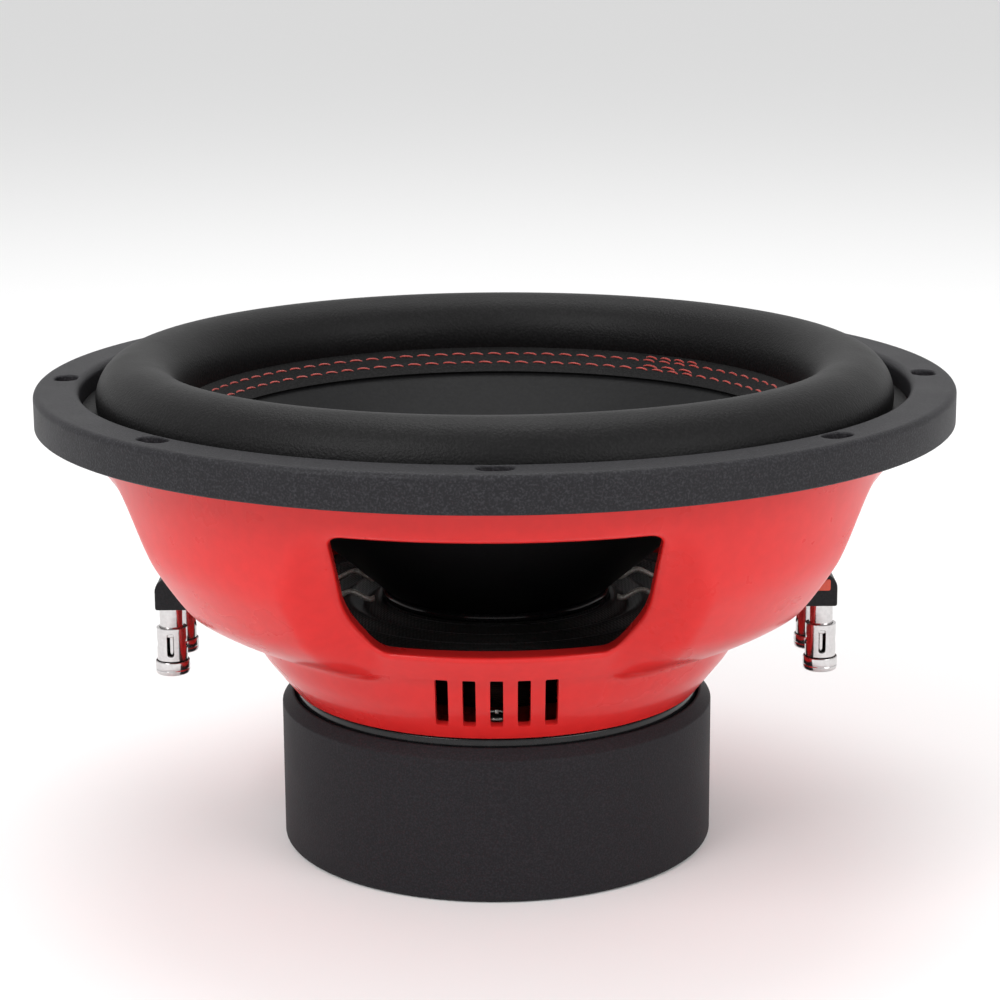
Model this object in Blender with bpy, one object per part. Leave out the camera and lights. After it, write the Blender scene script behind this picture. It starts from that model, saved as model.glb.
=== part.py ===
"""Twelve inch car subwoofer: pressed basket, trim ring, roll surround, cone and twin magnet motor.

Metres, +Z up. The origin is on the driver's axis, at the bottom of the motor boot. The front is -Y.
"""

import math

import bmesh
import bpy
from mathutils import Matrix, Vector

# Clearances
GAP = 0.0003                      # between faces that touch on the real driver
STEPS = 48                        # sides of the large turned pieces
COIL_STEPS = 32                   # sides of the turned pieces inside the motor
SMALL_STEPS = 12                  # sides of the terminals
SCREW_STEPS = 8

# Motor, from the bottom up
BOOT_FLOOR = 0.0030
BOOT_WALL = 0.0043
BOOT_HEIGHT = 0.0533
BOOT_TOP_BEVEL = 0.0036
BOOT_EDGE_RADIUS = 0.0015
BOOT_VENT_RADIUS = 0.0160
MAGNET_RADIUS = 0.0720
MAGNET_BORE = 0.0460
MAGNET_HEIGHT = 0.0180
YOKE_PLATE = 0.0080
YOKE_INSET = 0.0005               # the steel plates are this much smaller than the magnets
POLE_VENT_RADIUS = 0.0140
POLE_RISE = 0.0041                # of the pole above the top plate
TOP_PLATE = 0.0077
COIL_CLEARANCE = 0.0012           # between the coil, the top plate and the pole
SCREEN_THICKNESS = 0.0008

# Voice coil
FORMER_RADIUS = 0.0370            # inner radius of a three inch coil
FORMER_WALL = 0.0008
WINDING_WALL = 0.0008
WINDING_HEIGHT = 0.0320
FORMER_TAIL = 0.0020              # of the former below the windings
FORMER_RISE = 0.0030              # of the former above the cone's neck

# Basket
SHEET = 0.0022
NECK_RADIUS = 0.0723              # where the neck meets the top plate
FACET_SLOPE = 0.7804              # radius gained for each unit of height
SHOULDER_HEIGHT = 0.0268          # of the spokes' lower corner above the top plate
SHOULDER_RADIUS = 0.0982
SHOULDER_SLOPE = 2.07
SPOKE_HEIGHT = 0.0388             # of the spokes' upper run above the top plate
SPOKE_RADIUS = 0.1173
SPOKE_SLOPE = 0.515
SPOKE_CROWN = 5.0                 # per metre: how much the upper run arches outwards
SPOKE_ROUNDING = 0.0092
RIM_DROP = 0.0144                 # of the point where the wall steepens, below the gasket
RIM_SLOPE = 0.225
WALL_RADIUS = 0.1408              # of the wall at the flange, which fits the cut-out
FACET_HALF_ANGLE = math.radians(22.5)
SPOKE_HALF_ANGLE = math.radians(13.5)
FLOOR_BORE = 0.0440
FLANGE_RADIUS = 0.1565

# Windows and neck slots
WINDOW_SIDES = 4
WINDOW_BOTTOM = 0.0383            # above the top plate
WINDOW_HEIGHT = 0.0450
WINDOW_WAIST = 0.0130             # height of the widest point above the window's lower edge
WINDOW_BOTTOM_ANGLE = math.radians(20.5)
WINDOW_WAIST_ANGLE = math.radians(24.5)
WINDOW_TOP_ANGLE = math.radians(21.5)
WINDOW_BOTTOM_ROUND = 0.0090
WINDOW_WAIST_ROUND = 0.0200
WINDOW_TOP_ROUND = 0.0040
WINDOW_NOMINAL_RADIUS = 0.1180    # the outline is drawn at this radius
LIP_DEPTH = 0.0090
LIP_WALL = 0.0016
SLOT_COUNT = 5
SLOT_WIDTH = 0.0043
SLOT_PITCH = 0.0090
SLOT_BOTTOM = 0.0056              # above the top plate
SLOT_HEIGHT = 0.0205

# Trim ring, gasket and mounting holes
GASKET = 0.0013
FLANGE = 0.0020
MOUNT_HEIGHT = 0.0970             # of the mounting face above the top plate
TRIM_RADIUS = 0.1590
TRIM_BORE = 0.1433
TRIM_HEIGHT = 0.0123
TRIM_OUTER_FILLET = 0.0018
TRIM_INNER_FILLET = 0.0026
HOLE_COUNT = 8
HOLE_CIRCLE = 0.1496
HOLE_LENGTH = 0.0110
HOLE_WIDTH = 0.0080

# Cone, surround, spider and stitching
CONE_SLOPE = 0.869
CONE_THICKNESS = 0.0013
CONE_RADIUS = 0.1090
CONE_TRIM_DROP = 0.0189           # of the cone's face at the surround's inner edge, below the trim's top
DUST_CAP_RADIUS = 0.0580
DUST_CAP_RISE = 0.0200
DUST_CAP_WALL = 0.0012
ROLL_RADIUS = 0.0145
ROLL_CENTRE = 0.1235
ROLL_RISE = 0.0084                # of the roll's centre above the mounting face
ROLL_WALL = 0.0014
ROLL_STEPS = 7
ROLL_START = math.radians(200)
ROLL_END = math.radians(-13)
SURROUND_EDGE = 0.1020
STITCH_RADII = (0.1080, 0.1050)
STITCH_SIZE = 0.0009
SPIDER_RADIUS = 0.0895
SPIDER_WAVES = 4
SPIDER_WAVE_HEIGHT = 0.0016
SPIDER_SHEET = 0.0008
SPIDER_COLLAR = 0.0012
SPIDER_LANDING = 0.0085
SPIDER_HEIGHT = 0.0290            # of the spider's landing above the top plate
SUPPORT_RING = 0.0020
SUPPORT_RING_WIDTH = 0.0080

# Top plate screws
PLATE_SCREWS = 8
PLATE_SCREW_CIRCLE = 0.0580
PLATE_SCREW_RADIUS = 0.0022
PLATE_SCREW_HEAD = 0.0042
PLATE_SCREW_HEAD_HEIGHT = 0.0026
PLATE_SCREW_REACH = 0.0060

# Terminals, two on each side
TERMINAL_REACH = 0.1140           # of a terminal's axis from the driver's axis
TERMINAL_SPREAD = 0.0140          # of a terminal's axis from the block's middle
BARREL_RADIUS = 0.00535
BARREL_BORE = 0.0032
NECK_POST_RADIUS = 0.00415
NECK_BORE = 0.0037
BARREL_HEIGHT = 0.0115
NECK_POST_HEIGHT = 0.0078
POST_IN_BLOCK = 0.0060
POST_CAP = 0.0016                 # of solid metal above the spring
SHOULDER_RISE = 0.0008            # of the plunger's shoulder above the barrel
PLUNGER_RADIUS = 0.0029
PLUNGER_COLLAR = 0.00335
COLLAR_HEIGHT = 0.0012
BUTTON_RADIUS = 0.00605
BUTTON_HEIGHT = 0.0049
BUTTON_FLOOR = 0.0010
BUTTON_GAP = 0.0004               # between the barrel and the button at rest
PUSH_TRAVEL = 0.0040
WIRE_HOLE_RADIUS = 0.0023
WIRE_HOLE_HEIGHT = 0.00595        # of the barrel's wire hole above the barrel's lower end
PLUNGER_HOLE_RADIUS = 0.0015
BARREL_SLOT_WIDTH = 0.0026
BARREL_SLOT_HEIGHT = 0.0085
SPRING_OUTER = 0.0033
SPRING_INNER = 0.0024

# Terminal blocks
BLOCK_BOTTOM = 0.0308             # above the top plate
BLOCK_HEIGHT = 0.0115
BLOCK_LENGTH = 0.0430
BLOCK_OVERHANG = 0.0047           # of the block's outer face beyond the terminals' axes
BLOCK_EDGE_RADIUS = 0.0050
TONGUE_LENGTH = 0.0340
TONGUE_REACH = 0.0920
BLOCK_SCREW_SPREAD = 0.0050
BLOCK_SCREW_HEIGHT = 0.0036
BLOCK_SCREW_RADIUS = 0.0013
BLOCK_SCREW_HEAD = 0.0024
BLOCK_SCREW_HEAD_HEIGHT = 0.0018
BLOCK_SCREW_SINK = 0.0050
BLOCK_SCREW_REACH = 0.0040
INSERT_DEPTH = 0.0015
INSERT_HEIGHT = 0.0040
INSERT_WIDTH = 0.0112
INSERT_MARGIN = 0.0025            # from the insert to the block's outer face
INSERT_DROP = 0.0018              # of the insert below the block's top
LUG_LENGTH = 0.0085
LUG_WIDTH = 0.0050
LUG_THICKNESS = 0.0008
LUG_OVERHANG = 0.0020

# Tinsel leads
LEAD_RADIUS = 0.0010
LEAD_POINTS = 18
LEAD_HUMP_RADIUS = 0.0510         # where the lead rises over the spider
LEAD_HUMP_HEIGHT = 0.0030
LEAD_HUMP_FOOT = 0.0070           # from the hump's crest out to its foot
LEAD_FALL = 0.0240                # length over which the lead comes down from its lug
LEAD_DIP = 0.0020                 # of the lead below the block's top, a fifth of the way down
LEAD_END_RADIUS = 0.0425
LEAD_NECK_FOOT = 0.0025           # length of the lead's last, flat run to the cone's neck

# Heights that follow
YOKE_BOTTOM = BOOT_FLOOR + GAP
LOWER_MAGNET = YOKE_BOTTOM + YOKE_PLATE + GAP
UPPER_MAGNET = LOWER_MAGNET + MAGNET_HEIGHT + GAP
PLATE_BOTTOM = UPPER_MAGNET + MAGNET_HEIGHT + GAP
PLATE_TOP = PLATE_BOTTOM + TOP_PLATE
BASKET_BOTTOM = PLATE_TOP + GAP
MOUNT_FACE = BASKET_BOTTOM + MOUNT_HEIGHT
FLANGE_BOTTOM = MOUNT_FACE + GASKET + GAP
FLANGE_TOP = FLANGE_BOTTOM + FLANGE
TRIM_TOP = MOUNT_FACE + TRIM_HEIGHT
CONE_EDGE_HEIGHT = TRIM_TOP - CONE_TRIM_DROP
COIL_CENTRE = PLATE_TOP - TOP_PLATE / 2
COIL_BOTTOM = COIL_CENTRE - WINDING_HEIGHT / 2
FORMER_OUTER = FORMER_RADIUS + FORMER_WALL
OUTER_WINDING = FORMER_OUTER + GAP + WINDING_WALL + GAP
COIL_RADIUS = OUTER_WINDING + WINDING_WALL
BOOT_BORE = MAGNET_RADIUS + GAP
BOOT_RADIUS = BOOT_BORE + BOOT_WALL
WINDOW_LOW = BASKET_BOTTOM + WINDOW_BOTTOM
LANDING_HEIGHT = BASKET_BOTTOM + SPIDER_HEIGHT
BLOCK_LOW = BASKET_BOTTOM + BLOCK_BOTTOM
BLOCK_TOP = BLOCK_LOW + BLOCK_HEIGHT
BARREL_LOW = BLOCK_LOW - NECK_POST_HEIGHT - BARREL_HEIGHT
BARREL_TOP = BARREL_LOW + BARREL_HEIGHT
SHOULDER = BARREL_TOP + SHOULDER_RISE
BUTTON_TOP = BARREL_LOW - BUTTON_GAP


# Materials: base colour, roughness, metallic
FINISHES = {
    "red_enamel": ((0.62, 0.030, 0.032), 0.22, 0.0),
    "speckled_black": ((0.032, 0.031, 0.036), 0.62, 0.0),
    "foam_rubber": ((0.018, 0.018, 0.019), 0.55, 0.0),
    "cone_pulp": ((0.012, 0.012, 0.013), 0.45, 0.0),
    "boot_rubber": ((0.027, 0.025, 0.027), 0.70, 0.0),
    "gasket_foam": ((0.020, 0.020, 0.020), 0.90, 0.0),
    "spider_cloth": ((0.020, 0.019, 0.019), 0.85, 0.0),
    "thread": ((0.58, 0.035, 0.028), 0.70, 0.0),
    "black_steel": ((0.020, 0.020, 0.022), 0.35, 0.9),
    "ferrite": ((0.060, 0.058, 0.056), 0.75, 0.0),
    "aluminium": ((0.780, 0.780, 0.790), 0.35, 1.0),
    "copper": ((0.720, 0.300, 0.140), 0.30, 1.0),
    "zinc": ((0.620, 0.610, 0.590), 0.30, 1.0),
    "chrome": ((0.800, 0.790, 0.780), 0.10, 1.0),
    "black_plastic": ((0.022, 0.022, 0.025), 0.40, 0.0),
    "red_plastic": ((0.680, 0.080, 0.045), 0.40, 0.0),
    "tinned_braid": ((0.600, 0.570, 0.540), 0.40, 1.0),
}


def clear_scene():
    for obj in list(bpy.data.objects):
        bpy.data.objects.remove(obj, do_unlink=True)


def finish(name):
    """The Principled material of one finish, made once."""
    if name in bpy.data.materials:
        return bpy.data.materials[name]
    colour, roughness, metallic = FINISHES[name]
    material = bpy.data.materials.new(name)
    material.use_nodes = True
    shader = material.node_tree.nodes["Principled BSDF"]
    shader.inputs["Base Color"].default_value = (*colour, 1.0)
    shader.inputs["Roughness"].default_value = roughness
    shader.inputs["Metallic"].default_value = metallic
    material.diffuse_color = (*colour, 1.0)
    return material


def face_outwards(shape, faces):
    """Turns the faces of one closed, evenly wound body outwards, by the sign of its volume."""
    volume = 0.0
    for face in faces:
        corners = [vertex.co for vertex in face.verts]
        for second, third in zip(corners[1:], corners[2:]):
            volume += corners[0].dot(second.cross(third))
    if volume < 0.0:
        bmesh.ops.reverse_faces(shape, faces=faces)


def closed_loops(shape, rings):
    """Adds the ring-shaped body whose sections are the given closed loops of points."""
    rings = [[shape.verts.new(point) for point in ring] for ring in rings]
    faces = []
    for ring, after in zip(rings, rings[1:] + rings[:1]):
        for index in range(len(ring)):
            following = (index + 1) % len(ring)
            faces.append(shape.faces.new([ring[index], after[index], after[following], ring[following]]))
    face_outwards(shape, faces)


def make_object(name, shape, finish_name, origin=(0.0, 0.0, 0.0)):
    """Turns a bmesh in world space into an object whose origin is at the given point."""
    bmesh.ops.translate(shape, verts=shape.verts[:], vec=-Vector(origin))
    mesh = bpy.data.meshes.new(name)
    shape.to_mesh(mesh)
    shape.free()
    mesh.materials.append(finish(finish_name))
    mesh.shade_smooth()
    mesh.set_sharp_from_angle(angle=math.radians(35))
    obj = bpy.data.objects.new(name, mesh)
    obj.location = origin
    bpy.context.scene.collection.objects.link(obj)
    return obj


def turned(shape, outline, steps, centre=(0.0, 0.0), turn=None):
    """Adds the solid swept by a closed (radius, height) outline about a vertical axis.

    Points at radius zero are poles. turn, a matrix, lays the finished solid over.
    """
    rings = []
    added = []
    for radius, height in outline:
        if radius == 0.0:
            pole = shape.verts.new((0.0, 0.0, height))
            added.append(pole)
            rings.append([pole] * steps)
            continue
        angles = [2 * math.pi * step / steps for step in range(steps)]
        ring = [shape.verts.new((radius * math.cos(a), radius * math.sin(a), height)) for a in angles]
        added.extend(ring)
        rings.append(ring)
    faces = []
    for low, high in zip(rings, rings[1:] + rings[:1]):
        if low[0] is low[1] and high[0] is high[1]:
            continue
        for step in range(steps):
            after = (step + 1) % steps
            corners = [low[step], low[after], high[after], high[step]]
            faces.append(shape.faces.new(list(dict.fromkeys(corners))))
    face_outwards(shape, faces)
    if turn is not None:
        bmesh.ops.transform(shape, matrix=turn, verts=added)
    bmesh.ops.translate(shape, verts=added, vec=(centre[0], centre[1], 0.0))


def turned_object(name, outline, finish_name, steps=STEPS, centre=(0.0, 0.0)):
    shape = bmesh.new()
    turned(shape, outline, steps, centre)
    return make_object(name, shape, finish_name, (centre[0], centre[1], 0.0))


def ring_outline(inner, outer, low, high):
    return [(inner, low), (outer, low), (outer, high), (inner, high)]


def loft(shape, near, far):
    """Adds the prism between two loops of points, closed at both ends."""
    near = [shape.verts.new(point) for point in near]
    far = [shape.verts.new(point) for point in far]
    faces = [shape.faces.new(near), shape.faces.new(far[::-1])]
    for index, start in enumerate(near):
        after = (index + 1) % len(near)
        faces.append(shape.faces.new([start, far[index], far[after], near[after]]))
    face_outwards(shape, faces)


def box(shape, low, high):
    corners = [(low[0], low[1]), (high[0], low[1]), (high[0], high[1]), (low[0], high[1])]
    loft(shape, [(x, y, low[2]) for x, y in corners], [(x, y, high[2]) for x, y in corners])


def cylinder(shape, centre, radius, direction, length, steps):
    """Adds a cylinder that starts at centre and runs for length along direction."""
    turn = Vector((0.0, 0.0, 1.0)).rotation_difference(Vector(direction)).to_matrix().to_4x4()
    place = Matrix.Translation(centre) @ turn
    angles = [2 * math.pi * (step + 0.5) / steps for step in range(steps)]
    circle = [(radius * math.cos(a), radius * math.sin(a)) for a in angles]
    loft(
        shape,
        [place @ Vector((x, y, 0.0)) for x, y in circle],
        [place @ Vector((x, y, length)) for x, y in circle],
    )


def rounded(corners, steps=4):
    """Rounds each (x, y, radius) corner of a polygon, with an arc of that radius."""
    points = []
    for index, (x, y, radius) in enumerate(corners):
        corner = Vector((x, y))
        before = (Vector(corners[index - 1][:2]) - corner).normalized()
        after = (Vector(corners[(index + 1) % len(corners)][:2]) - corner).normalized()
        if radius == 0.0:
            points.append((x, y))
            continue
        half = before.angle(after) / 2
        middle = corner + (before + after).normalized() * (radius / math.sin(half))
        start = corner + before * (radius / math.tan(half)) - middle
        end = corner + after * (radius / math.tan(half)) - middle
        for step in range(steps + 1):
            arm = start.slerp(end, step / steps).normalized()
            points.append(tuple(middle + radius * arm))
    return points


def oval(length, width, steps=6):
    """The outline of a slot along x, with round ends."""
    points = []
    for side in (1, -1):
        for step in range(steps // 2 + 1):
            angle = math.pi * (step / (steps // 2) - 0.5)
            x = side * ((length - width) / 2 + width / 2 * math.cos(angle))
            points.append((x, side * width / 2 * math.sin(angle)))
    return points


def quarter_turn(quarter):
    return Matrix.Rotation(math.pi / 2 * quarter, 4, "Z")


def combine(obj, shape, name, operation, solver):
    """Joins or cuts a hidden helper with a live Boolean."""
    mesh = bpy.data.meshes.new(name)
    shape.to_mesh(mesh)
    shape.free()
    helper = bpy.data.objects.new(name, mesh)
    helper.hide_render = True
    helper.display_type = "WIRE"
    bpy.context.scene.collection.objects.link(helper)
    modifier = obj.modifiers.new(name, "BOOLEAN")
    modifier.operation = operation
    modifier.object = helper
    modifier.solver = solver


def join(obj, shape, name, solver="EXACT"):
    combine(obj, shape, name, "UNION", solver)


def cut(obj, shape, name, solver="EXACT"):
    combine(obj, shape, name, "DIFFERENCE", solver)


# Basket ---------------------------------------------------------------------------------------


def smooth_step(value):
    value = min(max(value, 0.0), 1.0)
    return value * value * (3 - 2 * value)


def smaller(first, second, rounding):
    """The smaller of two values, rounded over where they cross."""
    share = min(max(0.5 + 0.5 * (second - first) / rounding, 0.0), 1.0)
    return second * (1 - share) + first * share - rounding * share * (1 - share)


def spoke_share(angle):
    """0 on the four facets that hold the windows, 1 on the four spokes between them."""
    from_facet = abs((angle + math.pi / 4) % (math.pi / 2) - math.pi / 4)
    blend = math.pi / 4 - SPOKE_HALF_ANGLE - FACET_HALF_ANGLE
    return smooth_step((from_facet - FACET_HALF_ANGLE) / blend)


def wall_radius(angle, height):
    """The basket's outer radius: straight cones, with arched spokes that bulge out over a shoulder."""
    rise = height - BASKET_BOTTOM
    facet = NECK_RADIUS + FACET_SLOPE * rise
    under = SHOULDER_RADIUS + SHOULDER_SLOPE * (rise - SHOULDER_HEIGHT)
    over = rise - SPOKE_HEIGHT
    under_mount = MOUNT_FACE - BASKET_BOTTOM - rise
    upper = SPOKE_RADIUS + SPOKE_SLOPE * over + SPOKE_CROWN * over * under_mount
    spoke = max(facet, smaller(under, upper, SPOKE_ROUNDING))
    rim = WALL_RADIUS + RIM_SLOPE * (rise - MOUNT_HEIGHT)
    return min(facet + spoke_share(angle) * (spoke - facet), rim)


def wall_stations():
    """Heights at which the wall changes slope, from the neck to the flange."""
    shoulder = BASKET_BOTTOM + SHOULDER_HEIGHT
    straight = BASKET_BOTTOM + SPOKE_HEIGHT
    rim = MOUNT_FACE - RIM_DROP
    heights = [BASKET_BOTTOM, shoulder - SPOKE_ROUNDING / 2]
    heights += [shoulder + (straight - shoulder) * share for share in (0.0, 0.25, 0.5, 0.75, 1.0)]
    heights += [straight + (rim - straight) * share for share in (0.33, 0.67, 1.0)]
    heights += [FLANGE_BOTTOM]
    return heights


def basket_outline(angle):
    """The section at one angle: floor, outer wall, flange and inner wall."""
    probe = 0.0005
    outer = [(wall_radius(angle, height), height) for height in wall_stations()]
    inner = []
    for radius, height in outer:
        slope = (wall_radius(angle, height + probe) - wall_radius(angle, height - probe)) / (2 * probe)
        inner.append((radius - SHEET * math.hypot(1.0, slope), height))
    inner[0] = (inner[0][0], BASKET_BOTTOM + SHEET)
    inner[-1] = (inner[-1][0], FLANGE_TOP)
    flange = [(FLANGE_RADIUS, FLANGE_BOTTOM), (FLANGE_RADIUS, FLANGE_TOP)]
    floor = [(FLOOR_BORE, BASKET_BOTTOM + SHEET), (FLOOR_BORE, BASKET_BOTTOM)]
    return outer + flange + inner[::-1] + floor


def basket_angles():
    """Angles of the sections: few on the facets, more where they blend into the spokes."""
    blend_end = math.pi / 4 - SPOKE_HALF_ANGLE
    blend = [FACET_HALF_ANGLE + (blend_end - FACET_HALF_ANGLE) * step / 3 for step in range(4)]
    half = [0.0, FACET_HALF_ANGLE / 2] + blend + [math.pi / 4]
    sector = half + [math.pi / 2 - angle for angle in half[-2:0:-1]]
    return [quarter * math.pi / 2 + angle for quarter in range(4) for angle in sector]


def basket_shell(shape):
    rings = []
    for angle in basket_angles():
        outline = basket_outline(angle)
        rings.append([(r * math.sin(angle), -r * math.cos(angle), z) for r, z in outline])
    closed_loops(shape, rings)


def window_outline(margin=0.0):
    """The window as (angle, height) points, grown by a margin all round."""
    spread = margin / WINDOW_NOMINAL_RADIUS
    corners = []
    half = [
        (WINDOW_BOTTOM_ANGLE, -margin, WINDOW_BOTTOM_ROUND),
        (WINDOW_WAIST_ANGLE, WINDOW_WAIST, WINDOW_WAIST_ROUND),
        (WINDOW_TOP_ANGLE, WINDOW_HEIGHT + margin, WINDOW_TOP_ROUND),
    ]
    for angle, height, radius in half:
        corners.append(((angle + spread) * WINDOW_NOMINAL_RADIUS, height, radius))
    for angle, height, radius in half[::-1]:
        corners.append((-(angle + spread) * WINDOW_NOMINAL_RADIUS, height, radius))
    return [(x / WINDOW_NOMINAL_RADIUS, WINDOW_LOW + y) for x, y in rounded(corners, 3)]


def window_lip(shape, quarter):
    """The collar that turns in round one window, from inside the wall to the lip's depth."""
    turn = quarter_turn(quarter)
    inner = window_outline(-GAP)
    outer = window_outline(LIP_WALL - GAP)
    rings = []
    for (angle_in, height_in), (angle_out, height_out) in zip(inner, outer):
        section = []
        for angle, height, depth in (
            (angle_in, height_in, SHEET / 2),
            (angle_out, height_out, SHEET / 2),
            (angle_out, height_out, LIP_DEPTH),
            (angle_in, height_in, LIP_DEPTH),
        ):
            radius = wall_radius(angle, height) - depth
            section.append(turn @ Vector((radius * math.sin(angle), -radius * math.cos(angle), height)))
        rings.append(section)
    closed_loops(shape, rings)


def window_cutter(shape, quarter):
    turn = quarter_turn(quarter)
    near = FLOOR_BORE
    far = FLANGE_RADIUS
    outline = [(math.tan(angle), height) for angle, height in window_outline()]
    loft(
        shape,
        [turn @ Vector((near * x, -near, z)) for x, z in outline],
        [turn @ Vector((far * x, -far, z)) for x, z in outline],
    )


def slot_cutters(shape, quarter):
    turn = quarter_turn(quarter)
    low = BASKET_BOTTOM + SLOT_BOTTOM
    middle = low + SLOT_HEIGHT / 2
    near = FLOOR_BORE + GAP
    far = wall_radius(0.0, low + SLOT_HEIGHT) + SHEET
    outline = oval(SLOT_HEIGHT, SLOT_WIDTH, 4)
    for index in range(SLOT_COUNT):
        centre = (index - (SLOT_COUNT - 1) / 2) * SLOT_PITCH
        loft(
            shape,
            [turn @ Vector((centre + across, -near, middle + along)) for along, across in outline],
            [turn @ Vector((centre + across, -far, middle + along)) for along, across in outline],
        )


def mounting_hole_cutters(shape, low, high):
    for index in range(HOLE_COUNT):
        turn = Matrix.Rotation(2 * math.pi * index / HOLE_COUNT, 4, "Z")
        outline = oval(HOLE_LENGTH, HOLE_WIDTH)
        loft(
            shape,
            [turn @ Vector((x, y - HOLE_CIRCLE, low)) for x, y in outline],
            [turn @ Vector((x, y - HOLE_CIRCLE, high)) for x, y in outline],
        )


def plate_screw_places():
    angles = [2 * math.pi * index / PLATE_SCREWS for index in range(PLATE_SCREWS)]
    return [(PLATE_SCREW_CIRCLE * math.sin(a), -PLATE_SCREW_CIRCLE * math.cos(a)) for a in angles]


def block_screw_places():
    """Side (+1 right, -1 left), and the y of each screw that holds a terminal block."""
    return [(side, y) for side in (1, -1) for y in (-BLOCK_SCREW_SPREAD, BLOCK_SCREW_SPREAD)]


def make_basket():
    shell = bmesh.new()
    basket_shell(shell)
    basket = make_object("basket", shell, "red_enamel")
    openings = bmesh.new()
    for quarter in range(WINDOW_SIDES):
        window_cutter(openings, quarter)
    cut(basket, openings, "window_cutters", "MANIFOLD")
    lips = bmesh.new()
    for quarter in range(WINDOW_SIDES):
        window_lip(lips, quarter)
    join(basket, lips, "window_lips", "MANIFOLD")
    holes = bmesh.new()
    for quarter in range(WINDOW_SIDES):
        slot_cutters(holes, quarter)
    mounting_hole_cutters(holes, FLANGE_BOTTOM - SHEET, FLANGE_TOP + SHEET)
    for x, y in plate_screw_places():
        low = Vector((x, y, BASKET_BOTTOM - SHEET))
        cylinder(holes, low, PLATE_SCREW_RADIUS + GAP, (0, 0, 1), 3 * SHEET, SCREW_STEPS)
    for side, y in block_screw_places():
        start = Vector((side * TERMINAL_REACH, y, BLOCK_LOW + BLOCK_SCREW_HEIGHT))
        reach = TERMINAL_REACH - wall_radius(0.0, BLOCK_LOW) + LIP_DEPTH
        cylinder(holes, start, BLOCK_SCREW_RADIUS + GAP, (-side, 0, 0), reach, SCREW_STEPS)
    cut(basket, holes, "basket_holes", "MANIFOLD")


# Rim: trim ring, gasket, surround --------------------------------------------------------------


def arc(centre, radius, start, end, steps):
    """Points of an arc in the (radius, height) plane, ends included."""
    angles = [start + (end - start) * step / steps for step in range(steps + 1)]
    return [(centre[0] + radius * math.cos(a), centre[1] + radius * math.sin(a)) for a in angles]


def make_trim_ring():
    seat = FLANGE_TOP + GAP
    skirt = FLANGE_RADIUS + 2 * GAP
    outer = (TRIM_RADIUS - TRIM_OUTER_FILLET, TRIM_TOP - TRIM_OUTER_FILLET)
    inner = (TRIM_BORE + TRIM_INNER_FILLET, TRIM_TOP - TRIM_INNER_FILLET)
    outline = [(TRIM_BORE, seat), (skirt, seat), (skirt, MOUNT_FACE), (TRIM_RADIUS, MOUNT_FACE)]
    outline += arc(outer, TRIM_OUTER_FILLET, 0.0, math.pi / 2, 2)
    outline += arc(inner, TRIM_INNER_FILLET, math.pi / 2, math.pi, 2)
    ring = turned_object("trim_ring", outline, "speckled_black")
    holes = bmesh.new()
    mounting_hole_cutters(holes, MOUNT_FACE, TRIM_TOP + GASKET)
    cut(ring, holes, "trim_holes")


def make_gasket():
    inner = WALL_RADIUS + SHEET / 2
    outline = ring_outline(inner, FLANGE_RADIUS, MOUNT_FACE, MOUNT_FACE + GASKET)
    gasket = turned_object("flange_gasket", outline, "gasket_foam")
    holes = bmesh.new()
    mounting_hole_cutters(holes, MOUNT_FACE - GASKET, MOUNT_FACE + 2 * GASKET)
    cut(gasket, holes, "gasket_holes")


def cone_face(radius):
    """Height of the cone's upper face at a radius."""
    return CONE_EDGE_HEIGHT + CONE_SLOPE * (radius - SURROUND_EDGE)


def roll_centre():
    return (ROLL_CENTRE, MOUNT_FACE + ROLL_RISE)


def make_surround():
    centre = roll_centre()
    foot = FLANGE_TOP + GAP
    inner_radius = ROLL_RADIUS - ROLL_WALL
    outer_edge = TRIM_BORE - GAP
    outer = arc(centre, ROLL_RADIUS, ROLL_START, ROLL_END, ROLL_STEPS)
    inner = arc(centre, inner_radius, ROLL_END, ROLL_START, ROLL_STEPS)
    flange_top = cone_face(SURROUND_EDGE) + GAP + ROLL_WALL
    flange_bottom = cone_face(SURROUND_EDGE) + GAP
    outline = [(SURROUND_EDGE, flange_bottom), (SURROUND_EDGE, flange_top)]
    outline += outer
    outline += [(outer_edge, outer[-1][1]), (outer_edge, foot), (inner[0][0], foot)]
    outline += inner[1:]
    turned_object("surround", outline, "foam_rubber")


def flange_face(radius):
    """Height of the surround's inner flange, where the stitches lie."""
    start = (SURROUND_EDGE, cone_face(SURROUND_EDGE) + GAP + ROLL_WALL)
    end = arc(roll_centre(), ROLL_RADIUS, ROLL_START, ROLL_END, ROLL_STEPS)[0]
    share = (radius - start[0]) / (end[0] - start[0])
    return start[1] + share * (end[1] - start[1])


def make_stitching():
    for name, radius in zip(("stitching_outer", "stitching_inner"), STITCH_RADII):
        inner = radius - STITCH_SIZE / 2
        outer = radius + STITCH_SIZE / 2
        height = flange_face(outer) + GAP
        outline = ring_outline(inner, outer, height, height + STITCH_SIZE)
        turned_object(name, outline, "thread")


# Moving assembly --------------------------------------------------------------------------------


def make_cone():
    neck = FORMER_OUTER + GAP
    drop = CONE_THICKNESS * math.hypot(1.0, CONE_SLOPE)
    outline = [
        (neck, cone_face(neck) - drop),
        (CONE_RADIUS, cone_face(CONE_RADIUS) - drop),
        (CONE_RADIUS, cone_face(CONE_RADIUS)),
        (neck, cone_face(neck)),
    ]
    turned_object("cone", outline, "cone_pulp")


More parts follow.
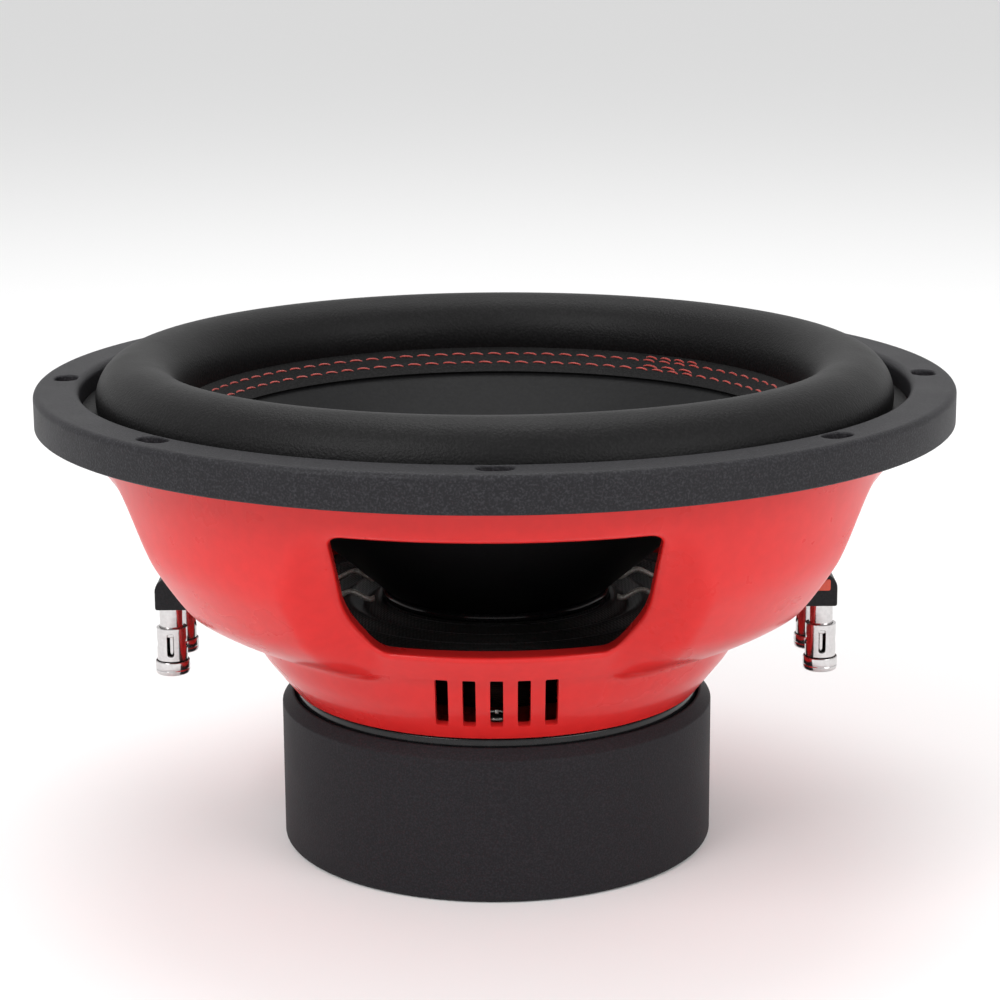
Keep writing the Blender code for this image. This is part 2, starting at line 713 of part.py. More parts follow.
def make_dust_cap():
    """A spherical shell whose edge rests on the cone."""
    foot = cone_face(DUST_CAP_RADIUS) + 2 * GAP
    radius = (DUST_CAP_RADIUS ** 2 + DUST_CAP_RISE ** 2) / (2 * DUST_CAP_RISE)
    centre = (0.0, foot + DUST_CAP_RISE - radius)
    edge = math.asin(DUST_CAP_RADIUS / radius)
    outer = arc(centre, radius, math.pi / 2, math.pi / 2 - edge, 5)
    inner = arc(centre, radius - DUST_CAP_WALL, math.pi / 2 - edge, math.pi / 2, 5)
    outline = [(0.0, outer[0][1])] + outer[1:] + inner[:-1] + [(0.0, inner[-1][1])]
    turned_object("dust_cap", outline, "cone_pulp", COIL_STEPS)


def make_voice_coil():
    low = COIL_BOTTOM - FORMER_TAIL
    high = cone_face(FORMER_OUTER) + FORMER_RISE
    turned_object(
        "voice_coil_former", ring_outline(FORMER_RADIUS, FORMER_OUTER, low, high), "aluminium", COIL_STEPS
    )
    top = COIL_BOTTOM + WINDING_HEIGHT
    inner = FORMER_OUTER + GAP
    windings = (("coil_inner_winding", inner), ("coil_outer_winding", OUTER_WINDING))
    for name, radius in windings:
        outline = ring_outline(radius, radius + WINDING_WALL, COIL_BOTTOM, top)
        turned_object(name, outline, "copper", COIL_STEPS)


def spider_wave(radius):
    """Height of the spider's middle surface between its collar and its landing."""
    start = FORMER_OUTER + GAP + SPIDER_COLLAR
    end = SPIDER_RADIUS - SPIDER_LANDING
    share = (radius - start) / (end - start)
    swing = SPIDER_WAVE_HEIGHT * math.sin(2 * math.pi * SPIDER_WAVES * share)
    rise = SPIDER_WAVE_HEIGHT / 2 * (1 - share)
    return LANDING_HEIGHT + SPIDER_SHEET / 2 + rise + swing


def make_spider():
    collar = FORMER_OUTER + GAP
    start = collar + SPIDER_COLLAR
    end = SPIDER_RADIUS - SPIDER_LANDING
    count = 4 * SPIDER_WAVES
    shares = [0.0] + [(2 * step + 1) / count for step in range(2 * SPIDER_WAVES)] + [1.0]
    radii = [start + (end - start) * share for share in shares]
    half = SPIDER_SHEET / 2
    top = [(radius, spider_wave(radius) + half) for radius in radii]
    bottom = [(radius, spider_wave(radius) - half) for radius in radii]
    collar_top = spider_wave(start) + SPIDER_WAVE_HEIGHT
    outline = [(collar, bottom[0][1]), (collar, collar_top), (start, collar_top)] + top
    outline += [(SPIDER_RADIUS, LANDING_HEIGHT + SPIDER_SHEET), (SPIDER_RADIUS, LANDING_HEIGHT)]
    outline += bottom[::-1]
    turned_object("spider", outline, "spider_cloth", COIL_STEPS)
    high = LANDING_HEIGHT - GAP
    outer = SPIDER_RADIUS
    outline = ring_outline(outer - SUPPORT_RING_WIDTH, outer, high - SUPPORT_RING, high)
    turned_object("spider_support_ring", outline, "black_plastic", COIL_STEPS)


# Motor ------------------------------------------------------------------------------------------


def make_motor():
    plate_radius = MAGNET_RADIUS - YOKE_INSET
    pole = FORMER_RADIUS - COIL_CLEARANCE
    plate_top = YOKE_BOTTOM + YOKE_PLATE
    pole_top = PLATE_TOP + POLE_RISE
    yoke = [
        (POLE_VENT_RADIUS, YOKE_BOTTOM),
        (plate_radius, YOKE_BOTTOM),
        (plate_radius, plate_top),
        (pole, plate_top),
        (pole, pole_top),
        (POLE_VENT_RADIUS, pole_top),
    ]
    turned_object("t_yoke", yoke, "black_steel", COIL_STEPS)
    for name, low in (("magnet_lower", LOWER_MAGNET), ("magnet_upper", UPPER_MAGNET)):
        outline = ring_outline(MAGNET_BORE, MAGNET_RADIUS, low, low + MAGNET_HEIGHT)
        turned_object(name, outline, "ferrite", COIL_STEPS)
    outline = ring_outline(COIL_RADIUS + COIL_CLEARANCE, plate_radius, PLATE_BOTTOM, PLATE_TOP)
    plate = turned_object("top_plate", outline, "black_steel", COIL_STEPS)
    holes = bmesh.new()
    for x, y in plate_screw_places():
        low = Vector((x, y, PLATE_TOP - PLATE_SCREW_REACH - GAP))
        cylinder(holes, low, PLATE_SCREW_RADIUS + GAP, (0, 0, 1), 2 * PLATE_SCREW_REACH, SCREW_STEPS)
    cut(plate, holes, "top_plate_holes")
    screen = YOKE_BOTTOM + SCREEN_THICKNESS
    outline = [(0.0, screen), (POLE_VENT_RADIUS - GAP, screen)]
    outline += [(POLE_VENT_RADIUS - GAP, screen + SCREEN_THICKNESS), (0.0, screen + SCREEN_THICKNESS)]
    turned_object("vent_screen", outline, "black_steel", COIL_STEPS)


def make_boot():
    edge = (BOOT_RADIUS - BOOT_EDGE_RADIUS, BOOT_EDGE_RADIUS)
    outline = [(BOOT_VENT_RADIUS, 0.0)]
    outline += arc(edge, BOOT_EDGE_RADIUS, -math.pi / 2, 0.0, 2)
    outline += [
        (BOOT_RADIUS, BOOT_HEIGHT - BOOT_TOP_BEVEL),
        (BOOT_BORE + 2 * GAP, BOOT_HEIGHT),
        (BOOT_BORE, BOOT_HEIGHT),
        (BOOT_BORE, BOOT_FLOOR),
        (BOOT_VENT_RADIUS, BOOT_FLOOR),
    ]
    turned_object("motor_boot", outline, "boot_rubber")


def screw_outline(shank, head, head_height, reach):
    """A pan head screw pointing down, with the underside of its head at height zero."""
    crown = 0.6
    return [
        (0.0, -reach),
        (shank, -reach),
        (shank, 0.0),
        (head, 0.0),
        (head, crown * head_height),
        (crown * head, head_height),
        (0.0, head_height),
    ]


def make_plate_screws():
    seat = BASKET_BOTTOM + SHEET + GAP
    reach = PLATE_SCREW_REACH + SHEET
    outline = screw_outline(PLATE_SCREW_RADIUS, PLATE_SCREW_HEAD, PLATE_SCREW_HEAD_HEIGHT, reach)
    outline = [(radius, height + seat) for radius, height in outline]
    for index, place in enumerate(plate_screw_places()):
        turned_object(f"plate_screw_{index + 1}", outline, "zinc", SCREW_STEPS, place)


# Terminals --------------------------------------------------------------------------------------


def terminal_places():
    """Name, side and y of the four terminals."""
    places = []
    for side_name, side in (("right", 1), ("left", -1)):
        for end_name, end in (("front", -1), ("rear", 1)):
            places.append((f"{side_name}_{end_name}", side, end * TERMINAL_SPREAD))
    return places


def make_barrel(name, centre):
    top = BLOCK_LOW + POST_IN_BLOCK
    outline = [
        (0.0, top - POST_CAP),
        (NECK_BORE, top - POST_CAP),
        (NECK_BORE, SHOULDER),
        (BARREL_BORE, SHOULDER),
        (BARREL_BORE, BARREL_LOW),
        (BARREL_RADIUS, BARREL_LOW),
        (BARREL_RADIUS, BARREL_TOP),
        (NECK_POST_RADIUS, BARREL_TOP),
        (NECK_POST_RADIUS, top),
        (0.0, top),
    ]
    barrel = turned_object(f"terminal_barrel_{name}", outline, "chrome", SMALL_STEPS, centre)
    x, y = centre
    reach = 2 * BARREL_RADIUS
    wire = BARREL_LOW + WIRE_HOLE_HEIGHT
    slot = BARREL_LOW + (BARREL_HEIGHT - BARREL_SLOT_HEIGHT) / 2
    half = BARREL_SLOT_WIDTH / 2
    openings = bmesh.new()
    box(openings, (x - half, y - reach, slot), (x + half, y + reach, slot + BARREL_SLOT_HEIGHT))
    cut(barrel, openings, f"barrel_slot_{name}")
    holes = bmesh.new()
    cylinder(holes, Vector((x - reach, y, wire)), WIRE_HOLE_RADIUS, (1, 0, 0), 2 * reach, SCREW_STEPS)
    cut(barrel, holes, f"barrel_wire_hole_{name}")


def make_plunger(name, centre):
    """The moving part of a terminal: its button, and the pin whose cross hole takes the wire."""
    low = BUTTON_TOP - BUTTON_HEIGHT
    floor = low + BUTTON_FLOOR
    collar = SHOULDER + GAP
    outline = [
        (0.0, low),
        (BUTTON_RADIUS, low),
        (BUTTON_RADIUS, BUTTON_TOP),
        (BARREL_RADIUS + GAP, BUTTON_TOP),
        (BARREL_RADIUS + GAP, floor),
        (PLUNGER_RADIUS, floor),
        (PLUNGER_RADIUS, collar),
        (PLUNGER_COLLAR, collar),
        (PLUNGER_COLLAR, collar + COLLAR_HEIGHT),
        (0.0, collar + COLLAR_HEIGHT),
    ]
    plunger = turned_object(f"terminal_plunger_{name}", outline, "chrome", SMALL_STEPS, centre)
    x, y = centre
    reach = 2 * PLUNGER_RADIUS
    height = BARREL_LOW + WIRE_HOLE_HEIGHT - PUSH_TRAVEL
    hole = bmesh.new()
    cylinder(hole, Vector((x - reach, y, height)), PLUNGER_HOLE_RADIUS, (1, 0, 0), 2 * reach, SCREW_STEPS)
    cut(plunger, hole, f"plunger_hole_{name}")


def make_terminal_spring(name, centre):
    low = SHOULDER + GAP + COLLAR_HEIGHT + GAP
    high = BLOCK_LOW + POST_IN_BLOCK - POST_CAP - GAP
    outline = ring_outline(SPRING_INNER, SPRING_OUTER, low, high)
    turned_object(f"terminal_spring_{name}", outline, "zinc", SMALL_STEPS, centre)


def block_outline():
    """The block's section as (distance from the driver's axis, height): body, and tongue over the rail."""
    face = TERMINAL_REACH + BLOCK_OVERHANG
    low = wall_radius(0.0, BLOCK_LOW) + 2 * GAP
    rail = WINDOW_LOW + GAP
    corner = wall_radius(0.0, rail) + 2 * GAP
    corners = [
        (low, BLOCK_LOW, 0.0),
        (face, BLOCK_LOW, 0.0),
        (face, BLOCK_TOP, BLOCK_EDGE_RADIUS),
        (corner, BLOCK_TOP, 0.0),
        (corner, rail, 0.0),
    ]
    return rounded(corners, 4)


def make_block(name, side):
    """One terminal block, with a narrower tongue that reaches in over the window's lower edge."""
    half = BLOCK_LENGTH / 2
    outline = [(side * x, z) for x, z in block_outline()]
    shape = bmesh.new()
    loft(shape, [(x, -half, z) for x, z in outline], [(x, half, z) for x, z in outline])
    block = make_object(f"terminal_block_{name}", shape, "black_plastic")

    rail = WINDOW_LOW + GAP
    tongue = bmesh.new()
    ends = sorted((side * TONGUE_REACH, side * (TERMINAL_REACH - BLOCK_OVERHANG)))
    box(tongue, (ends[0], -TONGUE_LENGTH / 2, rail), (ends[1], TONGUE_LENGTH / 2, BLOCK_TOP - GAP))
    join(block, tongue, f"tongue_{name}")

    holes = bmesh.new()
    low = BLOCK_LOW - GAP
    high = BLOCK_LOW + POST_IN_BLOCK + GAP
    bore = NECK_POST_RADIUS + GAP
    bore_outline = [(0.0, low), (bore, low), (bore, high), (0.0, high)]
    for y in (-TERMINAL_SPREAD, TERMINAL_SPREAD):
        turned(holes, bore_outline, SMALL_STEPS, (side * TERMINAL_REACH, y))
    seat = TERMINAL_REACH + BLOCK_OVERHANG - BLOCK_SCREW_SINK
    shank = BLOCK_SCREW_RADIUS + GAP
    head = BLOCK_SCREW_HEAD + GAP
    sink = BLOCK_SCREW_SINK + GAP
    screw_bore = [(0.0, TONGUE_REACH - seat), (shank, TONGUE_REACH - seat), (shank, 0.0)]
    screw_bore += [(head, 0.0), (head, sink), (0.0, sink)]
    lay = Matrix.Rotation(side * math.pi / 2, 4, "Y")
    for y in (-BLOCK_SCREW_SPREAD, BLOCK_SCREW_SPREAD):
        place = Matrix.Translation((side * seat, y, BLOCK_LOW + BLOCK_SCREW_HEIGHT))
        turned(holes, screw_bore, SCREW_STEPS, turn=place @ lay)
    cut(block, holes, f"block_holes_{name}")

    low, high = insert_box(side, GAP)
    pocket = bmesh.new()
    box(pocket, low, high)
    cut(block, pocket, f"insert_pocket_{name}")


def insert_box(side, margin):
    """The red insert in the end of a block: the near end on the right, the far end on the left."""
    end = -side * BLOCK_LENGTH / 2
    face = side * (TERMINAL_REACH + BLOCK_OVERHANG - INSERT_MARGIN + margin)
    inner = side * (TERMINAL_REACH + BLOCK_OVERHANG - INSERT_MARGIN - INSERT_WIDTH - margin)
    deep = end + side * (INSERT_DEPTH + margin)
    shallow = end - side * 2 * margin
    top = BLOCK_TOP - INSERT_DROP + margin
    bottom = BLOCK_TOP - INSERT_DROP - INSERT_HEIGHT - margin
    xs = sorted((face, inner))
    ys = sorted((deep, shallow))
    return (xs[0], ys[0], bottom), (xs[1], ys[1], top)


def make_insert(name, side):
    low, high = insert_box(side, 0.0)
    shape = bmesh.new()
    box(shape, low, high)
    make_object(f"polarity_insert_{name}", shape, "red_plastic")


def make_block_screws():
    face = TERMINAL_REACH + BLOCK_OVERHANG - BLOCK_SCREW_SINK
    reach = face - wall_radius(0.0, BLOCK_LOW + BLOCK_SCREW_HEIGHT) + BLOCK_SCREW_REACH
    outline = screw_outline(BLOCK_SCREW_RADIUS, BLOCK_SCREW_HEAD, BLOCK_SCREW_HEAD_HEIGHT, reach)
    for index, (side, y) in enumerate(block_screw_places()):
        shape = bmesh.new()
        turned(shape, outline, SCREW_STEPS, turn=Matrix.Rotation(side * math.pi / 2, 4, "Y"))
        place = Vector((side * (face + GAP), y, BLOCK_LOW + BLOCK_SCREW_HEIGHT))
        bmesh.ops.translate(shape, verts=shape.verts[:], vec=place)
        make_object(f"block_screw_{index + 1}", shape, "zinc", place)


def make_lug(name, side, y):
    low = BLOCK_TOP
    start = side * (TONGUE_REACH - LUG_OVERHANG)
    end = side * (TONGUE_REACH - LUG_OVERHANG + LUG_LENGTH)
    xs = sorted((start, end))
    shape = bmesh.new()
    box(shape, (xs[0], y - LUG_WIDTH / 2, low), (xs[1], y + LUG_WIDTH / 2, low + LUG_THICKNESS))
    make_object(f"solder_lug_{name}", shape, "tinned_braid")


def lead_route(side, y):
    """A tinsel lead from its lug, down to the spider, over one hump and up to the cone's neck."""
    spider_crest = LANDING_HEIGHT + SPIDER_SHEET + 1.5 * SPIDER_WAVE_HEIGHT
    rest = spider_crest + 2 * GAP + LEAD_RADIUS
    lug = TONGUE_REACH - LUG_OVERHANG - LEAD_RADIUS
    points = [
        (lug, BLOCK_TOP + LUG_THICKNESS / 2),
        (lug - LEAD_FALL / 5, BLOCK_TOP - LEAD_DIP),
        (lug - LEAD_FALL / 2, rest + LEAD_HUMP_HEIGHT),
        (lug - LEAD_FALL, rest),
        (LEAD_HUMP_RADIUS + LEAD_HUMP_FOOT, rest),
        (LEAD_HUMP_RADIUS, rest + LEAD_HUMP_HEIGHT),
        (LEAD_END_RADIUS + LEAD_NECK_FOOT, rest + GAP),
        (LEAD_END_RADIUS, rest + 2 * GAP),
    ]
    return [Vector((side * x, y, z)) for x, z in points]


def smooth_route(points, count):
    """Evenly spaced points of the Catmull-Rom curve through the route's own points."""
    padded = [2 * points[0] - points[1]] + points + [2 * points[-1] - points[-2]]
    spans = len(points) - 1
    route = []
    for step in range(count):
        position = spans * step / (count - 1)
        span = min(int(position), spans - 1)
        t = position - span
        a, b, c, d = padded[span : span + 4]
        route.append(
            0.5 * (2 * b + (c - a) * t + (2 * a - 5 * b + 4 * c - d) * t**2 + (3 * b - a - 3 * c + d) * t**3)
        )
    return route


def make_lead(name, side, y):
    route = smooth_route(lead_route(side, y), LEAD_POINTS)
    curve = bpy.data.curves.new(f"tinsel_lead_{name}", "CURVE")
    curve.dimensions = "3D"
    curve.bevel_depth = LEAD_RADIUS
    curve.bevel_resolution = 2
    curve.use_fill_caps = True
    spline = curve.splines.new("POLY")
    spline.points.add(len(route) - 1)
    for point, place in zip(spline.points, route):
        point.co = (*place, 1.0)
    curve.materials.append(finish("tinned_braid"))
    lead = bpy.data.objects.new(f"tinsel_lead_{name}", curve)
    bpy.context.scene.collection.objects.link(lead)


def make_terminals():
    for name, side in (("right", 1), ("left", -1)):
        make_block(name, side)
        make_insert(name, side)
    make_block_screws()
    for name, side, y in terminal_places():
        centre = (side * TERMINAL_REACH, y)
        make_barrel(name, centre)
        make_plunger(name, centre)
        make_terminal_spring(name, centre)
        make_lug(name, side, y)
        make_lead(name, side, y)


def main():
    clear_scene()
    make_basket()
    make_trim_ring()
    make_gasket()
    make_surround()
    make_stitching()
    make_cone()
    make_dust_cap()
    make_voice_coil()
    make_spider()
    make_motor()
    make_boot()
    make_plate_screws()
    make_terminals()


main()
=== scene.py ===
"""The looks of a twelve inch car subwoofer, as an add-on: sizes, colours, and an operator a piece."""

import math

import bmesh
import bpy
import numpy as np
from mathutils import Matrix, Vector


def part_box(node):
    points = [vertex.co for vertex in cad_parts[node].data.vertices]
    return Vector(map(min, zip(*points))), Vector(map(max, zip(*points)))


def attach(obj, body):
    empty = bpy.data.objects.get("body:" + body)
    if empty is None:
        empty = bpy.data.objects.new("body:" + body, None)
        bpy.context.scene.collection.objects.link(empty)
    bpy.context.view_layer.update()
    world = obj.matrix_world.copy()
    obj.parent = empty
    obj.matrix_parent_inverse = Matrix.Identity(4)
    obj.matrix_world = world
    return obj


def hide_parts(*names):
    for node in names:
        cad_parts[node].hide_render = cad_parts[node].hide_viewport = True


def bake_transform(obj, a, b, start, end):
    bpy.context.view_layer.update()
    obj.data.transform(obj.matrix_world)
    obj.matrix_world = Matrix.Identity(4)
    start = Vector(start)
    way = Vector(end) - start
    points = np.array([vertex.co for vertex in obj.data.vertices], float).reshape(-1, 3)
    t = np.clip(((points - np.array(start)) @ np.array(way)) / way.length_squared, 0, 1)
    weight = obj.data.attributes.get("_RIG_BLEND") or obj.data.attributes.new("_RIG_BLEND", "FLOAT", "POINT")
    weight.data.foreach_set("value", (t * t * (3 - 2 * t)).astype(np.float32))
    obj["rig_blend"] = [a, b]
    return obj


bl_info = {
    "name": "Subwoofer Builder",
    "version": (1, 0, 0),
    "blender": (4, 5, 0),
    "location": "View3D > Sidebar > Subwoofer",
    "description": "Builds a twelve inch car subwoofer, one piece at a time",
    "category": "Add Mesh",
}

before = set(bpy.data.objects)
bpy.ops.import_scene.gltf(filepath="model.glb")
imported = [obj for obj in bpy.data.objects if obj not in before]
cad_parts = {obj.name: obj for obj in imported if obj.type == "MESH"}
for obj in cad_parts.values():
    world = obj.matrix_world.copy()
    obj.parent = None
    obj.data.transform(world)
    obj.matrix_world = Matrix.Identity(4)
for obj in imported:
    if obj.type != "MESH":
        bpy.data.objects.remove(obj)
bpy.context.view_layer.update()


def top_of(node):
    return float(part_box(node)[1][2])


def bottom_of(node):
    return float(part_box(node)[0][2])


def reach_of(node):
    return float(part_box(node)[1][0])


# Heights that the frame gives
BASKET_BOTTOM = bottom_of("basket")
MOUNT_FACE = bottom_of("flange_gasket")
FLANGE_BOTTOM = MOUNT_FACE + 0.0016
FLANGE_TOP = top_of("basket")
TRIM_TOP = top_of("trim_ring")
CONE_EDGE_HEIGHT = TRIM_TOP - 0.0189
CREST = top_of("surround")
LANDING = bottom_of("spider")
BLOCK_LOW = bottom_of("terminal_block_right")
BLOCK_TOP = top_of("terminal_block_right")
BARREL_LOW = bottom_of("terminal_barrel_right_front")
BARREL_TOP = BARREL_LOW + 0.0115
BUTTON_LOW = bottom_of("terminal_plunger_right_front")

# Lines of the basket, measured from its bottom
NECK_RADIUS = 0.0723
FACET_SLOPE = 0.7804
SHOULDER = (0.0268, 0.0982, 2.07)         # height, radius, slope
SPOKE = (0.0388, 0.1173, 0.515)
SPOKE_CROWN = 5.0                         # per metre
SPOKE_ROUNDING = 0.0092
WALL_RADIUS = 0.1408
RIM_SLOPE = 0.225
MOUNT_HEIGHT = 0.0970
FACET_HALF_ANGLE = math.radians(22.5)
SPOKE_HALF_ANGLE = math.radians(13.5)
CREASE_ROUNDING = 0.0022
SEAM_HEIGHT = 0.0264
QUARTERS = 4
WINDOW_LOW = BASKET_BOTTOM + 0.0361
WINDOW_HEIGHT = 0.0465
WINDOW_NOMINAL = 0.1180

HOLES = 8
HOLE_CIRCLE = 0.1496
FLANGE_RADIUS = 0.1565
TRIM_SEAT_RADIUS = 0.1571
FLOOR_BORE = 0.0440
PLATE_RADIUS = 0.0715
MAGNET = (0.0460, 0.0720)                 # bore and radius
POLE_RADIUS = 0.0358
POLE_VENT = 0.0140
POLE_RISE = 0.0041
YOKE_PLATE = 0.0080
PLATE_BORE = 0.0416
OUTER_WINDING = 0.0392
WINDING = 0.00064
SCREW_CIRCLE = 0.0580
TERMINAL_X = 0.1140
TERMINAL_Y = 0.0140
SLEEVE_RADIUS = 0.00535
BARREL_NECK = 0.00415
PIN_RADIUS = 0.0029
WIRE_RISE = 0.00595                       # of the wire holes above the barrel's foot
PUSH_TRAVEL = 0.0040
TONGUE_REACH = 0.0920
SPIDER_WAVE = 0.0016
SPIDER_SHEET = 0.0008
FORMER_OUTER = 0.0378
CONE_SLOPE = 0.869
SPIDER_RADIUS = 0.0895


# Shapes ---------------------------------------------------------------------------------------


def smooth_step(value):
    """0 below 0, 1 above 1, and the cubic 3v^2 - 2v^3 between."""
    value = np.clip(value, 0.0, 1.0)
    return value * value * (3 - 2 * value)


def smaller(first, second, rounding):
    """The smaller of two values, rounded over where they cross."""
    share = np.clip(0.5 + 0.5 * (second - first) / rounding, 0.0, 1.0)
    return second * (1 - share) + first * share - rounding * share * (1 - share)


def larger(first, second, rounding):
    return -smaller(-first, -second, rounding)


def arc(centre, radius, start, end, count):
    """Points on a circle in a plane, from one angle in degrees to another."""
    angle = np.radians(np.linspace(start, end, count))
    return np.stack([centre[0] + radius * np.cos(angle), centre[1] + radius * np.sin(angle)], axis=1)


def rounded(corners, steps=6):
    """A closed polygon of (x, y, radius) corners, each corner turned into an arc of its radius."""
    corners = np.array(corners, float)
    before, after = np.roll(corners, 1, axis=0), np.roll(corners, -1, axis=0)
    points = []
    for (x, y, radius), (bx, by, _), (ax, ay, _) in zip(corners, before, after):
        corner = np.array([x, y])
        if radius == 0.0:
            points.append(corner[None])
            continue
        back = np.array([bx, by]) - corner
        on = np.array([ax, ay]) - corner
        back, on = back / np.hypot(*back), on / np.hypot(*on)
        half = math.acos(np.clip(back @ on, -1, 1)) / 2
        middle = corner + (back + on) / np.hypot(*(back + on)) * radius / math.sin(half)
        first = back * radius / math.tan(half) + corner - middle
        last = on * radius / math.tan(half) + corner - middle
        turn = np.linspace(0, 1, steps + 1)[:, None]
        whole = math.pi - 2 * half
        swing = first * np.sin((1 - turn) * whole) + last * np.sin(turn * whole)
        points.append(middle + swing / math.sin(whole))
    return np.concatenate(points)


def walled(line, thickness):
    """A closed outline: the line, and back along the same line moved by the thickness to its right."""
    line = np.asarray(line, float)
    run = np.gradient(line, axis=0)
    run /= np.hypot(run[:, 0], run[:, 1])[:, None]
    inner = line + thickness * np.stack([run[:, 1], -run[:, 0]], axis=1)
    inner[:, 0] = np.maximum(inner[:, 0], 0.0)
    return np.concatenate([line, inner[::-1]])


def even(points, count):
    """The same line through evenly spaced points."""
    points = np.asarray(points, float)
    length = np.concatenate([[0], np.cumsum(np.linalg.norm(np.diff(points, axis=0), axis=1))])
    at = np.linspace(0, length[-1], count)
    return np.stack([np.interp(at, length, column) for column in points.T], axis=1)


def smooth_path(points, count):
    """Evenly spread points of the Catmull-Rom curve through the given ones."""
    points = np.asarray(points, float)
    padded = np.concatenate([2 * points[:1] - points[1:2], points, 2 * points[-1:] - points[-2:-1]])
    position = np.linspace(0, len(points) - 1, count)
    span = np.minimum(position.astype(int), len(points) - 2)
    t = (position - span)[:, None]
    a, b, c, d = (padded[span + k] for k in range(4))
    bend = (2 * a - 5 * b + 4 * c - d) * t**2 + (3 * b - a - 3 * c + d) * t**3
    return 0.5 * (2 * b + (c - a) * t + bend)


def grid(points, closed_rows=False, closed_columns=False):
    """A sheet of quads over a rows x columns x 3 array of points, with its (u, v) map."""
    rows, columns = points.shape[:2]
    index = np.arange(rows * columns).reshape(rows, columns)
    if closed_rows:
        index = np.concatenate([index, index[:1]])
    if closed_columns:
        index = np.concatenate([index, index[:, :1]], axis=1)
    quads = np.stack([index[:-1, :-1], index[1:, :-1], index[1:, 1:], index[:-1, 1:]], axis=-1)
    u, v = np.meshgrid(np.arange(index.shape[0]) / (index.shape[0] - 1),
                       np.arange(index.shape[1]) / (index.shape[1] - 1), indexing="ij")
    uv = np.stack([u, v], axis=-1)
    corners = np.stack([uv[:-1, :-1], uv[1:, :-1], uv[1:, 1:], uv[:-1, 1:]], axis=2)
    return points.reshape(-1, 3), quads.reshape(-1, 4), corners.reshape(-1, 2)


def spun(outline, steps, centre=(0.0, 0.0)):
    """An outline of (radius, height) points carried round an upright axis: x = r sin a, y = -r cos a."""
    outline = np.asarray(outline, float)
    angle = np.linspace(0, 2 * np.pi, steps, endpoint=False)[:, None]
    radius, height = outline[None, :, 0], outline[None, :, 1]
    points = np.stack([centre[0] + radius * np.sin(angle), centre[1] - radius * np.cos(angle),
                       height + 0 * angle], axis=-1)
    on_axis = outline[0, 0] == 0.0 and outline[-1, 0] == 0.0
    return grid(points, closed_rows=True, closed_columns=not on_axis)


def tube(path, radius, sides):
    """A circle carried along a path, its frame kept level, and drawn to a point at each end."""
    path = np.asarray(path, float)
    run = np.gradient(path, axis=0)
    run /= np.linalg.norm(run, axis=1)[:, None]
    side = np.cross(run, [0.0, 0.0, 1.0])
    flat = np.linalg.norm(side, axis=1) < 1e-6
    side[flat] = [1.0, 0.0, 0.0]
    side /= np.linalg.norm(side, axis=1)[:, None]
    up = np.cross(side, run)
    radius = np.broadcast_to(np.asarray(radius, float), (len(path),))
    angle = np.linspace(0, 2 * np.pi, sides, endpoint=False)
    ring = np.cos(angle)[None, :, None] * side[:, None] + np.sin(angle)[None, :, None] * up[:, None]
    points = path[:, None] + radius[:, None, None] * ring
    first, last = (np.repeat(end[:, None], sides, 1) for end in (path[:1], path[-1:]))
    return grid(np.concatenate([first, points, last]), closed_columns=True)


def build(name, sheets, material, sharp=35, weld=2e-7, closed=True):
    """Makes one mesh object of several sheets, welds their seams and poles, and faces it outwards."""
    counts = np.cumsum([0] + [len(points) for points, _, _ in sheets])
    points = np.concatenate([sheet[0] for sheet in sheets])
    quads = np.concatenate([sheet[1] + start for sheet, start in zip(sheets, counts)])
    corners = np.concatenate([sheet[2] for sheet in sheets])
    mesh = bpy.data.meshes.new(name)
    mesh.vertices.add(len(points))
    mesh.vertices.foreach_set("co", points.astype(np.float32).ravel())
    mesh.loops.add(quads.size)
    mesh.loops.foreach_set("vertex_index", quads.astype(np.int32).ravel())
    mesh.polygons.add(len(quads))
    mesh.polygons.foreach_set("loop_start", np.arange(0, quads.size, 4, dtype=np.int32))
    mesh.update(calc_edges=True)
    layer = mesh.uv_layers.new(name="surface")
    layer.data.foreach_set("uv", corners.astype(np.float32).ravel())
    shape = bmesh.new()
    shape.from_mesh(mesh)
    bmesh.ops.remove_doubles(shape, verts=shape.verts, dist=weld)
    loose = [edge for edge in shape.edges if not edge.link_faces]
    bmesh.ops.delete(shape, geom=loose, context="EDGES")
    bmesh.ops.recalc_face_normals(shape, faces=shape.faces)
    if closed and shape.calc_volume(signed=True) < 0:
        bmesh.ops.reverse_faces(shape, faces=shape.faces)
    shape.to_mesh(mesh)
    shape.free()
    mesh.materials.append(material)
    mesh.shade_smooth()
    mesh.set_sharp_from_angle(angle=math.radians(sharp))
    obj = bpy.data.objects.new(name, mesh)
    bpy.context.scene.collection.objects.link(obj)
    return obj


def face_out(obj, outward):
    """Turns an open sheet over if its faces mostly point against the outward directions given."""
    count = len(obj.data.polygons)
    normals = np.empty(count * 3)
    centres = np.empty(count * 3)
    obj.data.polygons.foreach_get("normal", normals)
    obj.data.polygons.foreach_get("center", centres)
    normals, centres = normals.reshape(-1, 3), centres.reshape(-1, 3)
    if (normals * outward(centres)).sum() < 0:
        obj.data.flip_normals()
    return obj


def apply_modifiers(obj):
    """Bakes the modifiers into the mesh, which keeps the object's own name and material."""
    graph = bpy.context.evaluated_depsgraph_get()
    graph.update()
    mesh = bpy.data.meshes.new_from_object(obj.evaluated_get(graph), depsgraph=graph)
    obj.modifiers.clear()
    obj.data = mesh
    return obj


def thicken(obj, thickness):
    """Gives an open sheet its thickness, inwards from its outer face."""
    solid = obj.modifiers.new("thickness", "SOLIDIFY")
    solid.thickness = thickness
    solid.offset = -1.0
    solid.use_even_offset = True
    apply_modifiers(obj)
    obj.data.set_sharp_from_angle(angle=math.radians(35))
    return obj


